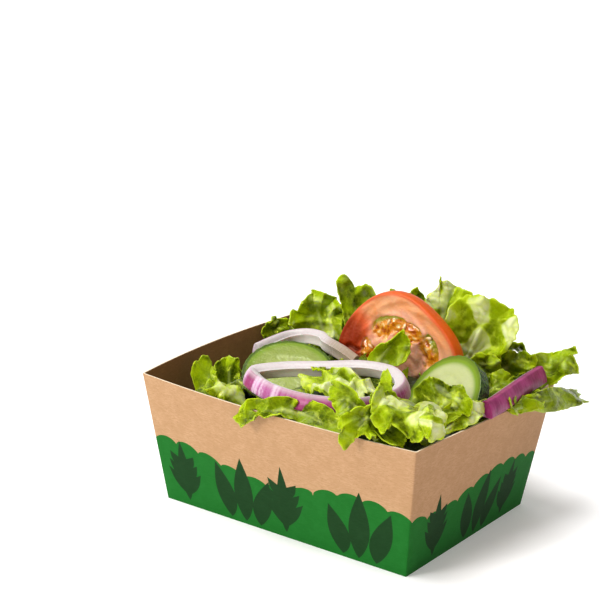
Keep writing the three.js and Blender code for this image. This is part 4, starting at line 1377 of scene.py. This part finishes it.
class Obstacles:
    """The toppings and the box, which leaves are pressed clear of."""

    def __init__(self, pieces):
        self.trees = []
        for piece in pieces:
            corners = np.array([vertex.co for vertex in piece.data.vertices]) / MM
            faces = [tuple(polygon.vertices) for polygon in piece.data.polygons]
            tree = BVHTree.FromPolygons(corners.tolist(), faces)
            self.trees.append((tree, corners.min(axis=0), corners.max(axis=0)))

    def press(self, places, gap):
        """Moves points out of the obstacles, and says which are too deep inside for that."""
        places = places.copy()
        deep = np.zeros(len(places), dtype=bool)
        for tree, low, high in self.trees:
            near = ((places > low - gap) & (places < high + gap)).all(axis=1)
            for index in np.flatnonzero(near):
                spot, normal, _, distance = tree.find_nearest(Vector(places[index]), 5)
                if spot is None:
                    continue
                inside = (Vector(places[index]) - spot).dot(normal) < 0
                if inside and distance > DEEPEST_PRESS:
                    deep[index] = True
                elif inside or distance < gap:
                    places[index] = spot + normal * gap
        return places, deep

    def crossed(self, points, faces):
        """Which of the faces cross an obstacle."""
        own = BVHTree.FromPolygons(points.tolist(), faces.tolist())
        hits = set()
        for tree, _, _ in self.trees:
            hits |= {pair[0] for pair in own.overlap(tree)}
        return np.array(sorted(hits), dtype=int)

    def ceiling(self, place):
        """The height at which a topping is met going up from a place."""
        lowest = 1e9
        for tree, _, _ in self.trees:
            spot = tree.ray_cast(Vector(place), Vector((0, 0, 1)))[0]
            if spot is not None:
                lowest = min(lowest, spot.z)
        return lowest


def largest_patch(kept):
    """The largest connected patch of the kept cells of a grid."""
    rows, columns = kept.shape
    label = np.zeros(kept.shape, dtype=int)
    sizes = [0]
    for start in zip(*np.nonzero(kept)):
        if label[start]:
            continue
        sizes.append(0)
        stack = [start]
        label[start] = len(sizes) - 1
        while stack:
            row, column = stack.pop()
            sizes[-1] += 1
            for step in ((row + 1, column), (row - 1, column), (row, column + 1), (row, column - 1)):
                inside = 0 <= step[0] < rows and 0 <= step[1] < columns
                if inside and kept[step] and not label[step]:
                    label[step] = len(sizes) - 1
                    stack.append(step)
    return label == np.argmax(sizes) if len(sizes) > 1 else kept


def thin_solid(points, cells, fields):
    """The given cells of a sheet as a closed solid."""
    faces = closed_faces(cells, len(points) // 2)
    used = np.unique(faces)
    renumber = np.zeros(len(points), dtype=int)
    renumber[used] = np.arange(len(used))
    doubled = {name: np.tile(np.ravel(values), 2)[used] for name, values in fields.items()}
    return points[used], renumber[faces], doubled


def make_leaf(form, seed, count, obstacles, clear_space=None):
    """One leaf of count cells a side, pressed clear of the toppings and the box. None if little
    of it is left."""
    places, thickness, fields = leaf_sheet(form, seed, count)
    shape = places.shape
    pressed, deep = obstacles.press(places.reshape(-1, 3), CLEARANCE + LEAF_THICKNESS / 2)
    if clear_space is not None:
        deep |= clear_space(pressed)
    points = both_sides(pressed.reshape(shape), thickness)
    cells = grid_faces(*shape[:2])
    kept = ~deep[cells].any(axis=1)
    faces = np.concatenate([cells, cells + len(points) // 2])
    kept[obstacles.crossed(points, faces) % len(cells)] = False
    kept = largest_patch(kept.reshape(count, count)).ravel()
    if kept.mean() < LEAST_LEAF:
        return None
    return thin_solid(points, cells[kept], fields)


def core_level(across, along):
    """The level of the heap's core: a dome that falls to the walls and to the low end."""
    place = box_place(across, along, CORE_TOP)
    x, y = place[..., 0], place[..., 1]
    away = (x - CORE_DOME["x"]) ** 2 + (y - CORE_DOME["y"]) ** 2
    dome = CORE_DOME["rise"] * np.exp(-away / (2 * CORE_DOME["spread"] ** 2))
    hollow = CORE_HOLLOW["depth"] * (1 - smoothstep(CORE_HOLLOW["to"], CORE_HOLLOW["from"], x))
    fall = CORE_FALL * np.maximum(np.abs(across), np.abs(along)) ** 6
    lumps = CORE_LUMP * np.sin(x / 5.1 + 1) * np.sin(y / 4.6 + 0.5)
    return CORE_TOP + dome - hollow - fall + lumps


def make_core(obstacles):
    """The bare core under the leaves: a closed lump, kept below the toppings."""
    inset = BOARD + CORE_GAP
    across = np.linspace(-1, 1, CORE_COLUMNS) * (1 - inset / (RIM_LENGTH / 2 - END_LEAN))
    along = np.linspace(-1, 1, CORE_ROWS) * (1 - inset / (RIM_WIDTH / 2 - SIDE_LEAN))
    across, along = np.meshgrid(across, along)
    floor = box_place(across, along, BOARD + CORE_FLOOR_GAP)
    level = core_level(across, along)
    for index in np.ndindex(level.shape):
        place = box_place(across[index], along[index], level[index])
        place[2] = BOARD + 2
        level[index] = min(level[index], obstacles.ceiling(place) - CORE_TOPPING_GAP)
    top = box_place(across, along, level)
    points = np.concatenate([top.reshape(-1, 3), floor.reshape(-1, 3)])
    faces = closed_faces(grid_faces(CORE_ROWS, CORE_COLUMNS), CORE_ROWS * CORE_COLUMNS)
    piece = mesh_object("lettuce_core", points, faces, [core_painted_shade_material()])
    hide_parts("lettuce_heap")
    return piece


def out_of_place(points):
    """Which points of a small leaf lie over the cut face of a cucumber, or past the walls."""
    share = np.maximum(points[:, 2], 0) / BOX_HEIGHT
    reach_x = np.abs(points[:, 0]) / (RIM_LENGTH / 2 - END_LEAN * (1 - share) + 1)
    reach_y = np.abs(points[:, 1]) / (RIM_WIDTH / 2 - SIDE_LEAN * (1 - share) + 1)
    over = np.maximum(reach_x, reach_y) > 1
    for matrix, _ in CUCUMBERS.values():
        inverse = np.array(matrix.inverted())
        local = points @ inverse[:3, :3].T + inverse[:3, 3]
        reach = np.hypot(local[:, 0], local[:, 1])
        over |= (reach < CUCUMBER_RADIUS + 1) & (local[:, 2] > -1) & (local[:, 2] < SPACE_OVER_CUCUMBER)
    return over


def filler_forms():
    """Leaves that lie on the core all over, by a seeded draw on a loose grid."""
    draw = np.random.default_rng(11)
    forms = []
    for row in FILLER_ROWS:
        for column in FILLER_COLUMNS:
            across = column + draw.uniform(-0.06, 0.06)
            along = row + draw.uniform(-0.07, 0.07)
            turn = draw.uniform(0, 2 * math.pi)
            length = draw.uniform(8, 12)
            level = float(core_level(across, along))
            middle = box_place(across, along, level)
            step = length * np.array([math.cos(turn), math.sin(turn), 0])
            tilt = draw.uniform(-0.35, 0.35, 2)
            forms.append(leaf(
                tuple(middle - step - [0, 0, 3]), tuple(middle + [0, 0, 1.2]),
                tuple(middle + step + [0, 0, draw.uniform(-1, 2.5)]), draw.uniform(20, 26),
                (tilt[0], tilt[1], 1), cup=draw.uniform(-2, 2.5), frill=draw.uniform(1.8, 2.8),
                tone=draw.uniform(-0.7, 0.3), pale=draw.uniform(0, 0.25),
            ))
    return forms


def make_lettuce(obstacles):
    material = leaf_material("lettuce_leaf")
    seed = 0
    pieces = [make_core(obstacles)]
    for name, forms in LEAVES.items():
        parts = []
        for form in forms:
            seed += 1
            parts.append(make_leaf(form, seed, LEAF_CELLS, obstacles))
        pieces.append(leaf_piece(name, parts, material))
    parts = []
    for form in filler_forms():
        seed += 1
        parts.append(make_leaf(form, seed, FILLER_CELLS, obstacles, out_of_place))
    pieces.append(leaf_piece("lettuce_filler", parts, material))
    return pieces


def leaf_piece(name, parts, material):
    points, faces, fields = joined([part for part in parts if part is not None])
    piece = mesh_object(name, points, faces, [material], fields=fields)
    return piece


# ---- Stage ----

TABLE_SIZE = 6000
SKY_STRENGTHS = (0.62, 0.12)  # at the ends of X


def make_camera():
    azimuth, elevation = math.radians(VIEW_AZIMUTH), math.radians(VIEW_ELEVATION)
    roll = math.radians(VIEW_ROLL)
    back = Vector((
        math.sin(azimuth) * math.cos(elevation), -math.cos(azimuth) * math.cos(elevation),
        math.sin(elevation),
    ))
    right = Vector((math.cos(azimuth), math.sin(azimuth), 0))
    up = back.cross(right)
    turned_right = right * math.cos(roll) + up * math.sin(roll)
    turned_up = up * math.cos(roll) - right * math.sin(roll)
    basis = Matrix((turned_right, turned_up, back)).transposed().to_4x4()
    data = bpy.data.cameras.new("camera")
    data.sensor_width = SENSOR
    data.lens = FOCAL_PX / IMAGE_PX * SENSOR
    data.clip_start, data.clip_end = CLIP
    camera = bpy.data.objects.new("camera", data)
    camera.matrix_world = Matrix.Translation((Vector(VIEW_TARGET) + back * VIEW_DISTANCE) * MM) @ basis
    bpy.context.scene.collection.objects.link(camera)
    bpy.context.scene.camera = camera


def area_light(name, place, target, size, power, color):
    """A soft square light at a place in metres, looking at a target."""
    data = bpy.data.lights.new(name, "AREA")
    data.shape = "SQUARE"
    data.size = size
    data.energy = power
    data.color = color
    light = bpy.data.objects.new(name, data)
    away = Vector(place) - Vector(target)
    light.matrix_world = Matrix.Translation(place) @ away.to_track_quat("Z", "Y").to_matrix().to_4x4()
    bpy.context.scene.collection.objects.link(light)


def sun_light(name, way, spread, power):
    """Even light from a way, spread over an angle in degrees."""
    data = bpy.data.lights.new(name, "SUN")
    data.angle = math.radians(spread)
    data.energy = power
    light = bpy.data.objects.new(name, data)
    light.matrix_world = Vector(way).to_track_quat("Z", "Y").to_matrix().to_4x4()
    bpy.context.scene.collection.objects.link(light)


def make_world():
    """A pale sky all round that is dimmer on the side of +X."""
    world = bpy.data.worlds.new("studio")
    world.use_nodes = True
    nodes, links = world.node_tree.nodes, world.node_tree.links
    way = nodes.new("ShaderNodeTexCoord")
    parts = nodes.new("ShaderNodeSeparateXYZ")
    fall = nodes.new("ShaderNodeMapRange")
    fall.inputs["To Min"].default_value, fall.inputs["To Max"].default_value = SKY_STRENGTHS
    links.new(way.outputs["Generated"], parts.inputs["Vector"])
    links.new(parts.outputs["X"], fall.inputs["Value"])
    background = nodes["Background"]
    links.new(fall.outputs["Result"], background.inputs["Strength"])
    background.inputs["Color"].default_value = (1, 1, 1, 1)
    bpy.context.scene.world = world


def make_stage():
    half = TABLE_SIZE / 2
    corners = [(-half, -half, 0), (half, -half, 0), (half, half, 0), (-half, half, 0)]
    floor = mesh_object("table", np.array(corners), [(0, 1, 2, 3)], [table_material()])
    floor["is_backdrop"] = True
    make_world()
    sun_light("sky", (-0.2, -0.2, 1), 30, 2.5)
    area_light("key", (-0.45, -1.1, 0.55), (0, 0, 0.05), 0.35, 9.4, (1, 0.985, 0.96))
    area_light("warm", (1.1, -0.5, 0.25), (0, 0, 0.03), 0.5, 1.0, (1, 0.25, 0.13))
    view = bpy.context.scene.view_settings
    view.view_transform = "Standard"
    view.look = "None"


# ---- Putting it together ----


def build():
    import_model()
    cad_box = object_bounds()
    make_camera()
    make_stage()
    box = make_box()
    cucumber = cucumber_material()
    onion = onion_material()
    toppings = [make_tomato()]
    toppings += [make_cucumber(name, *form, cucumber) for name, form in CUCUMBERS.items()]
    toppings += [make_onion(name, form, onion) for name, form in ONIONS.items()]
    seeds = make_tomato_seeds()
    lettuce = make_lettuce(Obstacles([box, *toppings]))
    for piece in [box, *toppings, seeds, *lettuce]:
        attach(piece, "root")
    return cad_box


cad_box = build()
